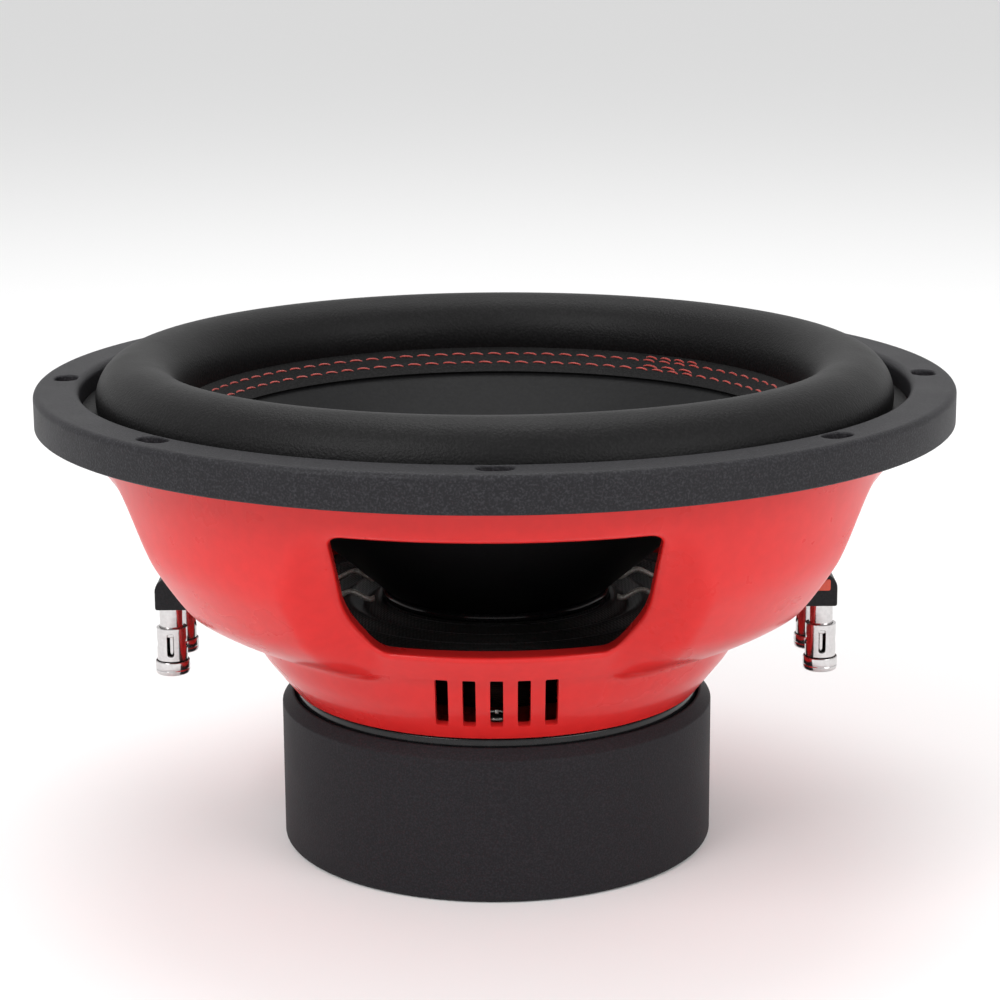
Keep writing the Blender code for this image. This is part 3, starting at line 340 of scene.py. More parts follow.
def soften(obj, width, segments=2, angle=35):
    bevel = obj.modifiers.new("soft_edges", "BEVEL")
    bevel.width = width
    bevel.segments = segments
    bevel.limit_method = "ANGLE"
    bevel.angle_limit = math.radians(angle)
    bevel.harden_normals = False
    return obj


def carve(obj, cutter):
    """Cuts one closed mesh out of another."""
    modifier = obj.modifiers.new("cut", "BOOLEAN")
    modifier.operation = "DIFFERENCE"
    modifier.solver = "EXACT"
    modifier.object = cutter
    apply_modifiers(obj)
    bpy.data.objects.remove(cutter, do_unlink=True)
    return obj


def radial_blend(obj, inner, outer, moving="cone_assembly", still="frame"):
    """Bends a piece between the moving cone and the frame, by the distance from the driver's axis."""
    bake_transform(obj, still, moving, start=(0.0, 0.0, LANDING), end=(0.0, 0.0, CREST))
    points = np.empty(len(obj.data.vertices) * 3)
    obj.data.vertices.foreach_get("co", points)
    radius = np.hypot(*points.reshape(-1, 3)[:, :2].T)
    weight = 1.0 - smooth_step((radius - inner) / (outer - inner))
    obj.data.attributes["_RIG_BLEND"].data.foreach_set("value", weight.astype(np.float32))
    return obj


def loop_by_rays(loop, bearings):
    """Where rays from the origin cross a closed loop of points, by the bearing of each ray."""
    dense = even(np.concatenate([loop, loop[:1]]), 4000)[:-1]
    own = np.arctan2(dense[:, 1], dense[:, 0])
    order = np.argsort(own)
    far = np.interp(bearings, own[order], np.hypot(dense[order, 0], dense[order, 1]), period=2 * np.pi)
    return far[:, None] * np.stack([np.cos(bearings), np.sin(bearings)], axis=1)


def box_loop(left, right, low, high, along, up):
    """Points round a rectangle, anticlockwise from its lower left corner, evenly spread by side."""
    across = np.linspace(0, 1, along, endpoint=False)[:, None]
    rise = np.linspace(0, 1, up, endpoint=False)[:, None]
    corners = [np.array(c) for c in ((left, low), (right, low), (right, high), (left, high))]
    sides = [(0, 1, across), (1, 2, rise), (2, 3, across), (3, 0, rise)]
    return np.concatenate([corners[a] + (corners[b] - corners[a]) * s for a, b, s in sides])


def normals_of(loop):
    """Outward unit normals of an anticlockwise loop in its own plane."""
    run = np.roll(loop, -1, axis=0) - np.roll(loop, 1, axis=0)
    run /= np.hypot(run[:, 0], run[:, 1])[:, None]
    return np.stack([run[:, 1], -run[:, 0]], axis=1)


def between(first, last, rows, ease=1.0):
    """Straight lines from one loop to another, as rows; an ease above 1 crowds them at the first."""
    share = np.linspace(0, 1, rows)[:, None, None] ** ease
    return first + (last - first) * share


# Basket ---------------------------------------------------------------------------------------


def spoke_share(angle):
    """0 on the four facets that hold the windows, 1 on the four spokes between them."""
    from_facet = np.abs((angle + np.pi / 4) % (np.pi / 2) - np.pi / 4)
    blend = math.pi / 4 - SPOKE_HALF_ANGLE - FACET_HALF_ANGLE
    return smooth_step((from_facet - FACET_HALF_ANGLE) / blend)


def wall_radius(angle, height):
    """The basket's outer radius: a plain cone, and spokes that bulge out of it over a shoulder."""
    rise = height - BASKET_BOTTOM
    facet = NECK_RADIUS + FACET_SLOPE * rise
    under = SHOULDER[1] + SHOULDER[2] * (rise - SHOULDER[0])
    over = rise - SPOKE[0]
    upper = SPOKE[1] + SPOKE[2] * over + SPOKE_CROWN * over * (MOUNT_HEIGHT - rise)
    spoke = larger(facet, smaller(under, upper, SPOKE_ROUNDING), CREASE_ROUNDING)
    rim = WALL_RADIUS + RIM_SLOPE * (rise - MOUNT_HEIGHT)
    return smaller(facet + spoke_share(angle) * (spoke - facet), rim, CREASE_ROUNDING)


def on_wall(angle, height, depth=0.0, quarter=0):
    """Points of one quarter of the wall, at an angle from its middle, set straight in by a depth."""
    radius = wall_radius(angle, height)
    middle = quarter * np.pi / 2
    turned = angle + middle
    x = radius * np.sin(turned) - depth * math.sin(middle)
    y = -radius * np.cos(turned) + depth * math.cos(middle)
    return np.stack([x, y, height + 0 * turned], axis=-1)


def window_loop():
    """The window as (distance along the facet, height) about its own middle."""
    waist = math.radians(24.8) * WINDOW_NOMINAL
    low = math.radians(22.3) * WINDOW_NOMINAL
    top = math.radians(22.2) * WINDOW_NOMINAL
    loop = rounded([(-low, 0, 0.0075), (low, 0, 0.0075), (waist, 0.0150, 0.0300),
                    (top, WINDOW_HEIGHT, 0.0050), (-top, WINDOW_HEIGHT, 0.0050),
                    (-waist, 0.0150, 0.0300)], 14)
    return loop - np.array([0.0, WINDOW_HEIGHT / 2])


def basket_shell_sheets(roll):
    """Each quarter of the upper shell: the lip round its window, then the wall out to the seams."""
    middle = WINDOW_LOW + WINDOW_HEIGHT / 2
    seam = BASKET_BOTTOM + SEAM_HEIGHT
    crown = BASKET_BOTTOM + 0.0925
    half = math.pi / 4 * WINDOW_NOMINAL
    along, up = 88, 38
    outer = box_loop(-half, half, seam - middle, crown - middle, along, up)
    inner = loop_by_rays(window_loop(), np.arctan2(outer[:, 1], outer[:, 0]))
    outward = normals_of(inner)
    turn = np.linspace(np.pi / 2, 0, 9)[:-1, None]
    lip_depth = np.linspace(0.0090, roll, 5)[:-1]
    flat = [(inner, depth) for depth in lip_depth]
    flat += [(inner + outward * roll * (1 - math.sin(a)), roll * (1 - math.cos(a))) for a in turn[:, 0]]
    flat += [(loop, 0.0) for loop in between(inner + outward * roll, outer, 30, 1.25)]
    loops = np.stack([loop for loop, _ in flat])
    depth = np.array([d for _, d in flat])[:, None]
    sheets = []
    for quarter in range(QUARTERS):
        points = on_wall(loops[..., 0] / WINDOW_NOMINAL, loops[..., 1] + middle, depth, quarter)
        sheets.append(grid(points, closed_columns=True))
    angles = outer[along + up:2 * along + up, 0] / WINDOW_NOMINAL
    angles = np.concatenate([angles, [-math.pi / 4]])
    height = np.linspace(crown, FLANGE_BOTTOM - 0.0022, 6)
    bend = arc((WALL_RADIUS + 0.0022, FLANGE_BOTTOM - 0.0022), 0.0022, 180, 90, 7)[1:]
    for quarter in range(QUARTERS):
        wall = on_wall(angles[None], height[:, None] + 0 * angles[None], 0.0, quarter)
        turned = angles + quarter * np.pi / 2
        shift = wall_radius(angles, height[-1]) - WALL_RADIUS
        fade = np.append(np.linspace(1, 0, 6), 0)[:, None]
        radius = np.append(bend[:, 0], FLANGE_RADIUS)[:, None] + shift[None] * fade
        level = np.append(bend[:, 1], FLANGE_BOTTOM)[:, None] + 0 * radius
        top = np.stack([radius * np.sin(turned), -radius * np.cos(turned), level], axis=-1)
        sheets.append(grid(np.concatenate([wall, top])))
    return sheets


def slot_loop(width, height):
    """A slot with small rounded corners, about its middle."""
    x, y = width / 2, height / 2
    return rounded([(-x, -y, 0.0009), (x, -y, 0.0009), (x, y, 0.0009), (-x, y, 0.0009)], 4)


def neck_sheets():
    """The neck: five slotted cells on each facet, and plain wall round to the next facet."""
    low, high = BASKET_BOTTOM + 0.0012, BASKET_BOTTOM + SEAM_HEIGHT + 0.0030
    pitch, middle = 0.0090, BASKET_BOTTOM + 0.01585
    cell = box_loop(-pitch / 2, pitch / 2, low - middle, high - middle, 14, 34)
    hole = loop_by_rays(slot_loop(0.0043, 0.0205), np.arctan2(cell[:, 1], cell[:, 0]))
    loops = between(hole, cell, 5)

    def neck_radius(angle, height):
        rise = height - BASKET_BOTTOM
        return wall_radius(angle, height) - 0.0017 * smooth_step((rise - 0.0120) / 0.0120)

    sheets = []
    rise = np.linspace(low, high, 35)
    for quarter in range(QUARTERS):
        for index in range(-2, 3):
            x, z = loops[..., 0] + index * pitch, loops[..., 1] + middle
            angle = np.arcsin(x / neck_radius(0 * x, z))
            radius, turned = neck_radius(angle, z), angle + quarter * np.pi / 2
            sheets.append(grid(np.stack([radius * np.sin(turned), -radius * np.cos(turned), z], -1),
                               closed_columns=True))
        start = np.arcsin(2.5 * pitch / neck_radius(0 * rise, rise))
        angle = start[:, None] + (np.pi / 2 - 2 * start[:, None]) * np.linspace(0, 1, 61)[None]
        height = rise[:, None] + 0 * angle
        radius, turned = neck_radius(angle, height), angle + quarter * np.pi / 2
        sheets.append(grid(np.stack([radius * np.sin(turned), -radius * np.cos(turned), height], -1)))
    return sheets


def outwards(centres):
    """Away from the driver's axis, and a little downwards, as a cone-shaped wall faces."""
    direction = centres.copy()
    direction[:, 2] = -0.05
    return direction


# Materials ------------------------------------------------------------------------------------


def finish(name, colour, roughness, metallic=0.0, other=None, grain=900.0, mix=0.5, bump=0.0, depth=0.0002,
           rough_range=0.06, **sockets):
    """A Principled material whose colour, roughness and bump follow one or two layers of noise."""
    material = bpy.data.materials.new(name)
    material.use_nodes = True
    nodes, links = material.node_tree.nodes, material.node_tree.links
    shader = nodes["Principled BSDF"]
    shader.inputs["Metallic"].default_value = metallic
    for socket, value in sockets.items():
        shader.inputs[socket.replace("_", " ")].default_value = value
    place = nodes.new("ShaderNodeTexCoord")
    fine = nodes.new("ShaderNodeTexNoise")
    fine.inputs["Scale"].default_value = grain
    fine.inputs["Detail"].default_value = 3.0
    links.new(place.outputs["Object"], fine.inputs["Vector"])
    ramp = nodes.new("ShaderNodeValToRGB")
    other = colour if other is None else other
    ramp.color_ramp.elements[0].color = (*colour, 1.0)
    ramp.color_ramp.elements[1].color = (*other, 1.0)
    ramp.color_ramp.elements[0].position = max(mix - 0.15, 0.0)
    ramp.color_ramp.elements[1].position = min(mix + 0.15, 1.0)
    links.new(fine.outputs["Fac"], ramp.inputs["Fac"])
    links.new(ramp.outputs["Color"], shader.inputs["Base Color"])
    broad = nodes.new("ShaderNodeTexNoise")
    broad.inputs["Scale"].default_value = 45.0
    broad.inputs["Detail"].default_value = 4.0
    links.new(place.outputs["Object"], broad.inputs["Vector"])
    spread = nodes.new("ShaderNodeMapRange")
    spread.inputs["To Min"].default_value = max(roughness - rough_range, 0.02)
    spread.inputs["To Max"].default_value = roughness + rough_range
    links.new(broad.outputs["Fac"], spread.inputs["Value"])
    links.new(spread.outputs["Result"], shader.inputs["Roughness"])
    if bump:
        relief = nodes.new("ShaderNodeBump")
        relief.inputs["Strength"].default_value = bump
        relief.inputs["Distance"].default_value = depth
        links.new(fine.outputs["Fac"], relief.inputs["Height"])
        links.new(relief.outputs["Normal"], shader.inputs["Normal"])
    return material


def add_relief(material, socket, strength, depth):
    """Adds a second relief on top of a material's own, from the given output."""
    nodes, links = material.node_tree.nodes, material.node_tree.links
    shader = nodes["Principled BSDF"]
    relief = nodes.new("ShaderNodeBump")
    relief.inputs["Strength"].default_value = strength
    relief.inputs["Distance"].default_value = depth
    links.new(socket, relief.inputs["Height"])
    if shader.inputs["Normal"].links:
        links.new(shader.inputs["Normal"].links[0].from_socket, relief.inputs["Normal"])
    links.new(relief.outputs["Normal"], shader.inputs["Normal"])


def wave(material, direction, scale, source="Object", distortion=0.0):
    """The output of a banded wave texture, in object space or along the piece's own map."""
    nodes, links = material.node_tree.nodes, material.node_tree.links
    place = nodes.new("ShaderNodeTexCoord")
    lines = nodes.new("ShaderNodeTexWave")
    lines.bands_direction = direction
    lines.inputs["Scale"].default_value = scale
    lines.inputs["Distortion"].default_value = distortion
    links.new(place.outputs[source], lines.inputs["Vector"])
    return lines.outputs["Fac"]


def make_finishes(colours):
    """Every finish of the driver, from the colours that the user may change."""
    red, thread_red = tuple(colours.basket), tuple(colours.stitching)
    black, trim = tuple(colours.rubber), tuple(colours.trim)
    f = {}
    f["red_enamel"] = finish("red_enamel", red, 0.28, other=tuple(0.94 * c for c in red), grain=240.0,
                             bump=0.02, depth=0.0003, rough_range=0.03, Coat_Weight=0.30, Coat_Roughness=0.05,
                             Specular_IOR_Level=0.15)
    f["speckled_black"] = finish("speckled_black", trim, 0.52, other=tuple(2.6 * c + 0.008 for c in trim),
                                 grain=1500.0, mix=0.62, bump=0.60, depth=0.00025, Specular_IOR_Level=0.20)
    f["foam_rubber"] = finish("foam_rubber", black, 0.46, other=tuple(2.2 * c for c in black), grain=1200.0,
                              mix=0.58, bump=0.65, depth=0.00030, Specular_IOR_Level=0.14)
    f["cone_pulp"] = finish("cone_pulp", (0.0040, 0.0040, 0.0044), 0.40, other=(0.007, 0.007, 0.0075),
                            grain=700.0,
                            bump=0.12, depth=0.0002, Specular_IOR_Level=0.16)
    f["boot_rubber"] = finish("boot_rubber", (0.0125, 0.0115, 0.0135), 0.60, other=(0.022, 0.020, 0.0235),
                              grain=1600.0, mix=0.58, bump=0.45, depth=0.0002, Specular_IOR_Level=0.14)
    f["gasket_foam"] = finish("gasket_foam", (0.010, 0.010, 0.011), 0.90, other=(0.018, 0.018, 0.019),
                              grain=1100.0, bump=0.8, depth=0.0004, Specular_IOR_Level=0.2)
    f["spider_cloth"] = finish("spider_cloth", (0.005, 0.005, 0.005), 0.55, other=(0.010, 0.0095, 0.0095),
                               grain=1200.0, bump=0.2, depth=0.0002, Sheen_Weight=0.06, Sheen_Roughness=0.5,
                               Specular_IOR_Level=0.3)
    f["thread"] = finish("thread", thread_red, 0.62, other=tuple(0.7 * c for c in thread_red), grain=2500.0,
                         bump=0.3, depth=0.0002, Sheen_Weight=0.3, Sheen_Roughness=0.4)
    f["black_steel"] = finish("black_steel", (0.006, 0.006, 0.0065), 0.18, other=(0.010, 0.010, 0.011),
                              grain=500.0, bump=0.06, depth=0.0002, Specular_IOR_Level=0.30)
    f["ferrite"] = finish("ferrite", (0.030, 0.029, 0.029), 0.72, other=(0.052, 0.050, 0.049), grain=650.0,
                          bump=0.5, depth=0.0003)
    f["aluminium"] = finish("aluminium", (0.020, 0.020, 0.022), 0.30, other=(0.028, 0.028, 0.030),
                            grain=500.0,
                            bump=0.05)
    # Copper wire darkened almost to black: painted shade, so the coil seen through the neck's slots looks as
    # dark as the shaded inside of the neck.
    f["copper"] = finish("copper", (0.045, 0.016, 0.008), 0.32, 0.6, other=(0.030, 0.010, 0.006), grain=600.0)
    f["zinc"] = finish("zinc", (0.60, 0.59, 0.56), 0.26, 1.0, other=(0.50, 0.49, 0.46),
                       grain=800.0, bump=0.08)
    f["chrome"] = finish("chrome", (0.62, 0.60, 0.60), 0.13, 1.0, other=(0.55, 0.53, 0.53), grain=900.0,
                         bump=0.04, rough_range=0.05)
    f["black_plastic"] = finish("black_plastic", (0.010, 0.010, 0.0115), 0.40, other=(0.016, 0.016, 0.018),
                                grain=1500.0, bump=0.25, depth=0.0001, Specular_IOR_Level=0.14)
    f["red_plastic"] = finish("red_plastic", (0.60, 0.075, 0.035), 0.42, other=(0.54, 0.060, 0.028),
                              grain=900.0,
                              bump=0.1, depth=0.0001)
    f["tinned_braid"] = finish("tinned_braid", (0.88, 0.84, 0.79), 0.30, 0.45, other=(0.62, 0.57, 0.51),
                               grain=1800.0, bump=0.3, depth=0.0002)
    weave = wave(f["spider_cloth"], "X", 260.0)
    add_relief(f["spider_cloth"], weave, 0.35, 0.0002)
    add_relief(f["spider_cloth"], wave(f["spider_cloth"], "Y", 260.0), 0.35, 0.0002)
    add_relief(f["copper"], wave(f["copper"], "Z", 420.0), 0.8, 0.0002)
    add_relief(f["thread"], wave(f["thread"], "DIAGONAL", 5.0, "UV"), 0.7, 0.0002)
    add_relief(f["aluminium"], wave(f["aluminium"], "Z", 300.0, distortion=1.0), 0.1, 0.0001)
    return f


FINISHES = {}


def put(obj, body, slot, *nodes):
    """Rides a piece on its body, in place of the nodes that it stands for."""
    if "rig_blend" not in obj:
        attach(obj, body)
    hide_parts(*nodes)
    return obj


# Sizes and colours ----------------------------------------------------------------------------


def length(name, description, default):
    return bpy.props.FloatProperty(name=name, description=description, default=default, min=0.0,
                                   unit="LENGTH", subtype="DISTANCE", precision=4)


def colour(name, description, default):
    return bpy.props.FloatVectorProperty(name=name, description=description, default=default, size=3,
                                         min=0.0, max=1.0, subtype="COLOR")


class DriverSizes(bpy.types.PropertyGroup):
    trim_radius: length("Trim Radius", "Outer radius of the trim ring", reach_of("trim_ring"))
    trim_bore: length("Trim Bore", "Inner radius of the trim ring", 0.1433)
    roll_radius: length("Roll Radius", "Radius of the surround's half roll", 0.0145)
    roll_centre: length("Roll Centre", "Distance of the roll's middle from the axis", 0.1235)
    surround_wall: length("Surround Wall", "Thickness of the surround", 0.0014)
    cone_radius: length("Cone Radius", "Outer radius of the cone", reach_of("cone"))
    cone_wall: length("Cone Wall", "Thickness of the cone", 0.0013)
    dust_cap_radius: length("Dust Cap Radius", "Radius of the dust cap's edge", reach_of("dust_cap"))
    dust_cap_rise: length("Dust Cap Rise", "Height of the dust cap above its edge", 0.0200)
    stitch_pitch: length("Stitch Pitch", "Distance from one stitch to the next", 0.0070)
    sheet: length("Basket Sheet", "Thickness of the basket's pressed sheet", 0.0020)
    window_roll: length("Window Roll", "Radius of the edge rolled in round each window", 0.0022)
    boot_radius: length("Boot Radius", "Outer radius of the motor boot", reach_of("motor_boot"))
    boot_height: length("Boot Height", "Height of the motor boot", top_of("motor_boot"))
    lead_radius: length("Lead Radius", "Radius of a tinsel lead", 0.0010)
    button_radius: length("Button Radius", "Radius of a terminal's push button", 0.00605)


class DriverColours(bpy.types.PropertyGroup):
    basket: colour("Basket", "Enamel on the basket", (0.650, 0.020, 0.019))
    trim: colour("Trim", "Speckled finish of the trim ring", (0.0110, 0.0105, 0.0125))
    rubber: colour("Surround", "Foam rubber of the surround", (0.0046, 0.0044, 0.0046))
    stitching: colour("Stitching", "Thread of the two rows of stitches", (0.560, 0.045, 0.030))
    floor: colour("Floor", "The studio's floor", (0.86, 0.86, 0.86))


# Pieces ---------------------------------------------------------------------------------------


class DRIVER_OT_basket(bpy.types.Operator):
    """Pressed basket: slotted neck, windowed upper shell and flange"""
    bl_idname = "driver.basket"
    bl_label = "Basket"

    def execute(self, context):
        sizes = context.scene.driver_sizes
        red = FINISHES["red_enamel"]
        shell = basket_shell_sheets(sizes.window_roll)
        shell = build("basket_shell", shell, red, closed=False, weld=2e-6)
        face_out(shell, outwards)
        thicken(shell, sizes.sheet)
        put(shell, "frame", "red_enamel", "basket")
        neck = build("basket_neck", neck_sheets(), red, closed=False, weld=2e-6)
        face_out(neck, outwards)
        thicken(neck, sizes.sheet)
        put(neck, "frame", "red_enamel", "basket")
        low = BASKET_BOTTOM
        high = low + 0.0022
        outline = rounded([(FLOOR_BORE, low, 0.0004), (NECK_RADIUS + 0.0001, low, 0.0012),
                           (NECK_RADIUS + 0.0011, high, 0.0003), (FLOOR_BORE, high, 0.0004)], 4)
        floor = build("basket_floor", [spun(outline, 144)], red)
        put(floor, "frame", "red_enamel", "basket")
        return {"FINISHED"}


def hole_cells(inner, outer, length, width, along, across):
    """An eighth of a ring with an oval hole: the loops of the hole and of the cell's edge."""
    half = math.pi / HOLES
    half *= HOLE_CIRCLE
    cell = box_loop(-half, half, inner - HOLE_CIRCLE, outer - HOLE_CIRCLE, along, across)
    flat, end = (length - width) / 2, width / 2
    right = arc((flat, 0.0), end, -90, 90, 30)
    left = arc((-flat, 0.0), end, 90, 270, 30)
    hole = loop_by_rays(np.concatenate([right, left]), np.arctan2(cell[:, 1], cell[:, 0]))
    return hole, cell


class DRIVER_OT_trim_ring(bpy.types.Operator):
    """Moulded trim ring with its eight oval mounting holes"""
    bl_idname = "driver.trim_ring"
    bl_label = "Trim Ring"

    def execute(self, context):
        sizes = context.scene.driver_sizes
        seat = FLANGE_TOP + 0.0003
        fillet_in, fillet_out = 0.0026, 0.0022
        flat_in, flat_out = sizes.trim_bore + 0.0010, sizes.trim_radius - fillet_out
        along, across = 64, 26
        hole, cell = hole_cells(flat_in, flat_out, 0.0112, 0.0078, along, across)
        edge = normals_of(hole)
        turn = np.linspace(np.pi / 2, 0, 6)
        radius = 0.0008
        drop = [(hole, level) for level in np.linspace(TRIM_TOP - seat, radius, 4)[:-1]]
        for a in turn[:-1]:
            drop.append((hole + edge * radius * (1 - math.sin(a)), radius * (1 - math.cos(a))))
        drop += [(loop, 0.0) for loop in between(hole + edge * radius, cell, 16, 1.3)]
        loops = np.stack([loop for loop, _ in drop])
        lower = np.array([level for _, level in drop])[:, None]

        def top(r):
            inside = np.clip((sizes.trim_bore + fillet_in - r) / fillet_in, 0.0, 1.0)
            return TRIM_TOP - fillet_in * (1 - np.sqrt(1 - inside**2))

        def ring(angle, r, z):
            return np.stack([r * np.sin(angle), -r * np.cos(angle), z + 0 * angle], axis=-1)

        sheets = []
        for index in range(HOLES):
            centre = index * 2 * np.pi / HOLES
            r = loops[..., 1] + HOLE_CIRCLE
            angle = loops[..., 0] / HOLE_CIRCLE + centre
            sheets.append(grid(ring(angle, r, top(r) - lower), closed_columns=True))
            angles = np.append(cell[:along, 0], cell[along, 0]) / HOLE_CIRCLE + centre
            inner_turn = np.linspace(math.acos(1 - 0.0010 / fillet_in), 0, 6)
            inner = np.stack([sizes.trim_bore + fillet_in * (1 - np.cos(inner_turn)),
                              TRIM_TOP - fillet_in + fillet_in * np.sin(inner_turn)], axis=1)
            inner = np.concatenate([inner, [[sizes.trim_bore, seat]]])
            sheets.append(grid(ring(angles[None], inner[:, :1], inner[:, 1:])))
            outer = arc((flat_out, TRIM_TOP - fillet_out), fillet_out, 90, 0, 9)
            foot = [[sizes.trim_radius, MOUNT_FACE + 0.0004], [sizes.trim_radius - 0.0004, MOUNT_FACE],
                    [TRIM_SEAT_RADIUS, MOUNT_FACE], [TRIM_SEAT_RADIUS, seat]]
            outer = np.concatenate([outer, foot])
            sheets.append(grid(ring(angles[None], outer[:, :1], outer[:, 1:])))
            under = between(hole, cell, 6)
            r, angle = under[..., 1] + HOLE_CIRCLE, under[..., 0] / HOLE_CIRCLE + centre
            sheets.append(grid(ring(angle, r, seat + 0 * r), closed_columns=True))
            for pair in ((sizes.trim_bore, flat_in), (flat_out, TRIM_SEAT_RADIUS)):
                r = np.array(pair)[:, None]
                sheets.append(grid(ring(angles[None] + 0 * r, r, seat)))
        trim = build("trim_ring_moulding", sheets, FINISHES["speckled_black"], closed=True, weld=3e-6)
        put(trim, "frame", "speckled_black", "trim_ring")
        return {"FINISHED"}


class DRIVER_OT_gasket(bpy.types.Operator):
    """Foam gasket under the flange, with its mounting holes"""
    bl_idname = "driver.gasket"
    bl_label = "Gasket"

    def execute(self, context):
        hole, cell = hole_cells(WALL_RADIUS + 0.0011, FLANGE_RADIUS, 0.0110, 0.0080, 48, 16)
        loops = between(hole, cell, 5)
        low, high = MOUNT_FACE, MOUNT_FACE + 0.0013
        sheets = []
        for index in range(HOLES):
            centre = index * 2 * np.pi / HOLES
            body = np.concatenate([loops, loops[::-1]])
            level = np.repeat([low, high], len(loops))[:, None]
            r, angle = body[..., 1] + HOLE_CIRCLE, body[..., 0] / HOLE_CIRCLE + centre
            whole = np.stack([r * np.sin(angle), -r * np.cos(angle), level + 0 * r], axis=-1)
            rows = len(loops)
            sheets.append(grid(whole[:rows], closed_columns=True))
            sheets.append(grid(whole[rows:], closed_columns=True))
            sheets.append(grid(np.stack([whole[0], whole[-1]]), closed_columns=True))
            for start in (0, 64):
                side = np.arange(start, start + 49)
                sheets.append(grid(np.stack([whole[rows - 1][side], whole[rows][side]])))
        gasket = build("flange_gasket_foam", sheets, FINISHES["gasket_foam"], weld=3e-6)
        put(gasket, "frame", "gasket_foam", "flange_gasket")
        return {"FINISHED"}


def cone_face(radius):
    return CONE_EDGE_HEIGHT + CONE_SLOPE * (radius - 0.1020)


class DRIVER_OT_surround(bpy.types.Operator):
    """Half roll surround in foam rubber, which bends between the frame and the cone"""
    bl_idname = "driver.surround"
    bl_label = "Surround"

    def execute(self, context):
        sizes = context.scene.driver_sizes
        centre = (sizes.roll_centre, CREST - sizes.roll_radius)
        roll = arc(centre, sizes.roll_radius, 200, -13, 56)
        edge = np.array([[0.1020, cone_face(0.1020) + 0.0017]])
        flange = even(np.concatenate([edge, roll[:1]]), 8)[:-1]
        foot = np.array([[roll[-1, 0] + 0.0006, roll[-1, 1]], [sizes.trim_bore - 0.0003, roll[-1, 1]]])
        line = np.concatenate([flange, roll, foot])
        outline = walled(line, sizes.surround_wall)
        surround = build("surround_roll", [spun(outline, 288)], FINISHES["foam_rubber"], sharp=50)
        radial_blend(surround, 0.1100, 0.1370)
        put(surround, "frame", "foam_rubber", "surround")
        return {"FINISHED"}


def stitch_sheets(radius, height, pitch, slope, start=0.0, end=2 * math.pi, thick=0.00038):
    """One row of stitches: short tubes along a circle whose ends dive into the flange."""
    count = int(round((end - start) * radius / pitch))
    share = np.linspace(-0.45, 0.45, 8)
    dive = 1 - np.abs(share / 0.45) ** 3
    sheets = []
    for index in range(count):
        angle = start + (index + share + 0.5) * (end - start) / count
        skew = 0.00020 * share / 0.45
        r = radius + skew
        z = height + slope * skew - 0.0009 * (1 - dive)
        path = np.stack([r * np.sin(angle), -r * np.cos(angle), z], axis=1)
        sheets.append(tube(path, thick * (0.45 + 0.55 * dive), 6))
    return sheets


class DRIVER_OT_stitching(bpy.types.Operator):
    """Two rows of red stitches that hold the surround to the cone"""
    bl_idname = "driver.stitching"
    bl_label = "Stitching"

    def execute(self, context):
        sizes = context.scene.driver_sizes
        centre = (sizes.roll_centre, CREST - sizes.roll_radius)
        crease = arc(centre, sizes.roll_radius, 200, 199, 2)[0]
        edge = np.array([0.1020, cone_face(0.1020) + 0.0017])
        slope = (crease[1] - edge[1]) / (crease[0] - edge[0])
        for name, radius in (("stitching_outer", 0.1078), ("stitching_inner", 0.1050)):
            height = edge[1] + slope * (radius - edge[0]) + 0.00015
            sheets = stitch_sheets(radius, height, sizes.stitch_pitch, slope)
            overlap = math.radians(141)
            shift = 0.0009
            sheets += stitch_sheets(radius + shift, height + slope * shift + 0.0002, sizes.stitch_pitch,
                                    slope, overlap - 0.11, overlap + 0.12)
            row = build(f"{name}_thread", sheets, FINISHES["thread"], sharp=60)
            put(row, "cone_assembly", "thread", name)
        return {"FINISHED"}


class DRIVER_OT_cone(bpy.types.Operator):
    """Pulp cone with its dust cap and glue beads"""
    bl_idname = "driver.cone"
    bl_label = "Cone and Dust Cap"

    def execute(self, context):
        sizes = context.scene.driver_sizes
        neck = FORMER_OUTER + 0.0002
        pulp = FINISHES["cone_pulp"]
        radii = np.linspace(neck, sizes.cone_radius, 40)
        line = np.stack([radii, cone_face(radii)], axis=1)
        cone = build("cone_body", [spun(walled(line, sizes.cone_wall), 192)], pulp)
        put(cone, "cone_assembly", "cone_pulp", "cone")
        foot = cone_face(sizes.dust_cap_radius) + 0.0006
        ball = (sizes.dust_cap_radius**2 + sizes.dust_cap_rise**2) / (2 * sizes.dust_cap_rise)
        edge = math.degrees(math.asin(sizes.dust_cap_radius / ball))
        dome = arc((0.0, foot + sizes.dust_cap_rise - ball), ball, 90, 90 - edge, 40)
        dome[0, 0] = 0.0
        outline = walled(dome, 0.0012)
        outline[-1, 0] = 0.0
        cap = build("dust_cap_dome", [spun(outline, 128)], pulp)
        put(cap, "cone_assembly", "cone_pulp", "dust_cap")
        bead = arc((sizes.dust_cap_radius + 0.0004, foot + 0.0002), 0.0013, 0, 360, 13)[:-1]
        glue = build("dust_cap_glue", [spun(bead, 128)], FINISHES["black_steel"])
        put(glue, "cone_assembly", "cone_pulp", "dust_cap")
        under = arc((FORMER_OUTER + 0.0010, cone_face(neck) - 0.0026), 0.0016, 0, 360, 17)[:-1]
        collar = build("neck_glue", [spun(under, 128)], FINISHES["black_steel"])
        put(collar, "cone_assembly", "cone_pulp", "cone")
        return {"FINISHED"}


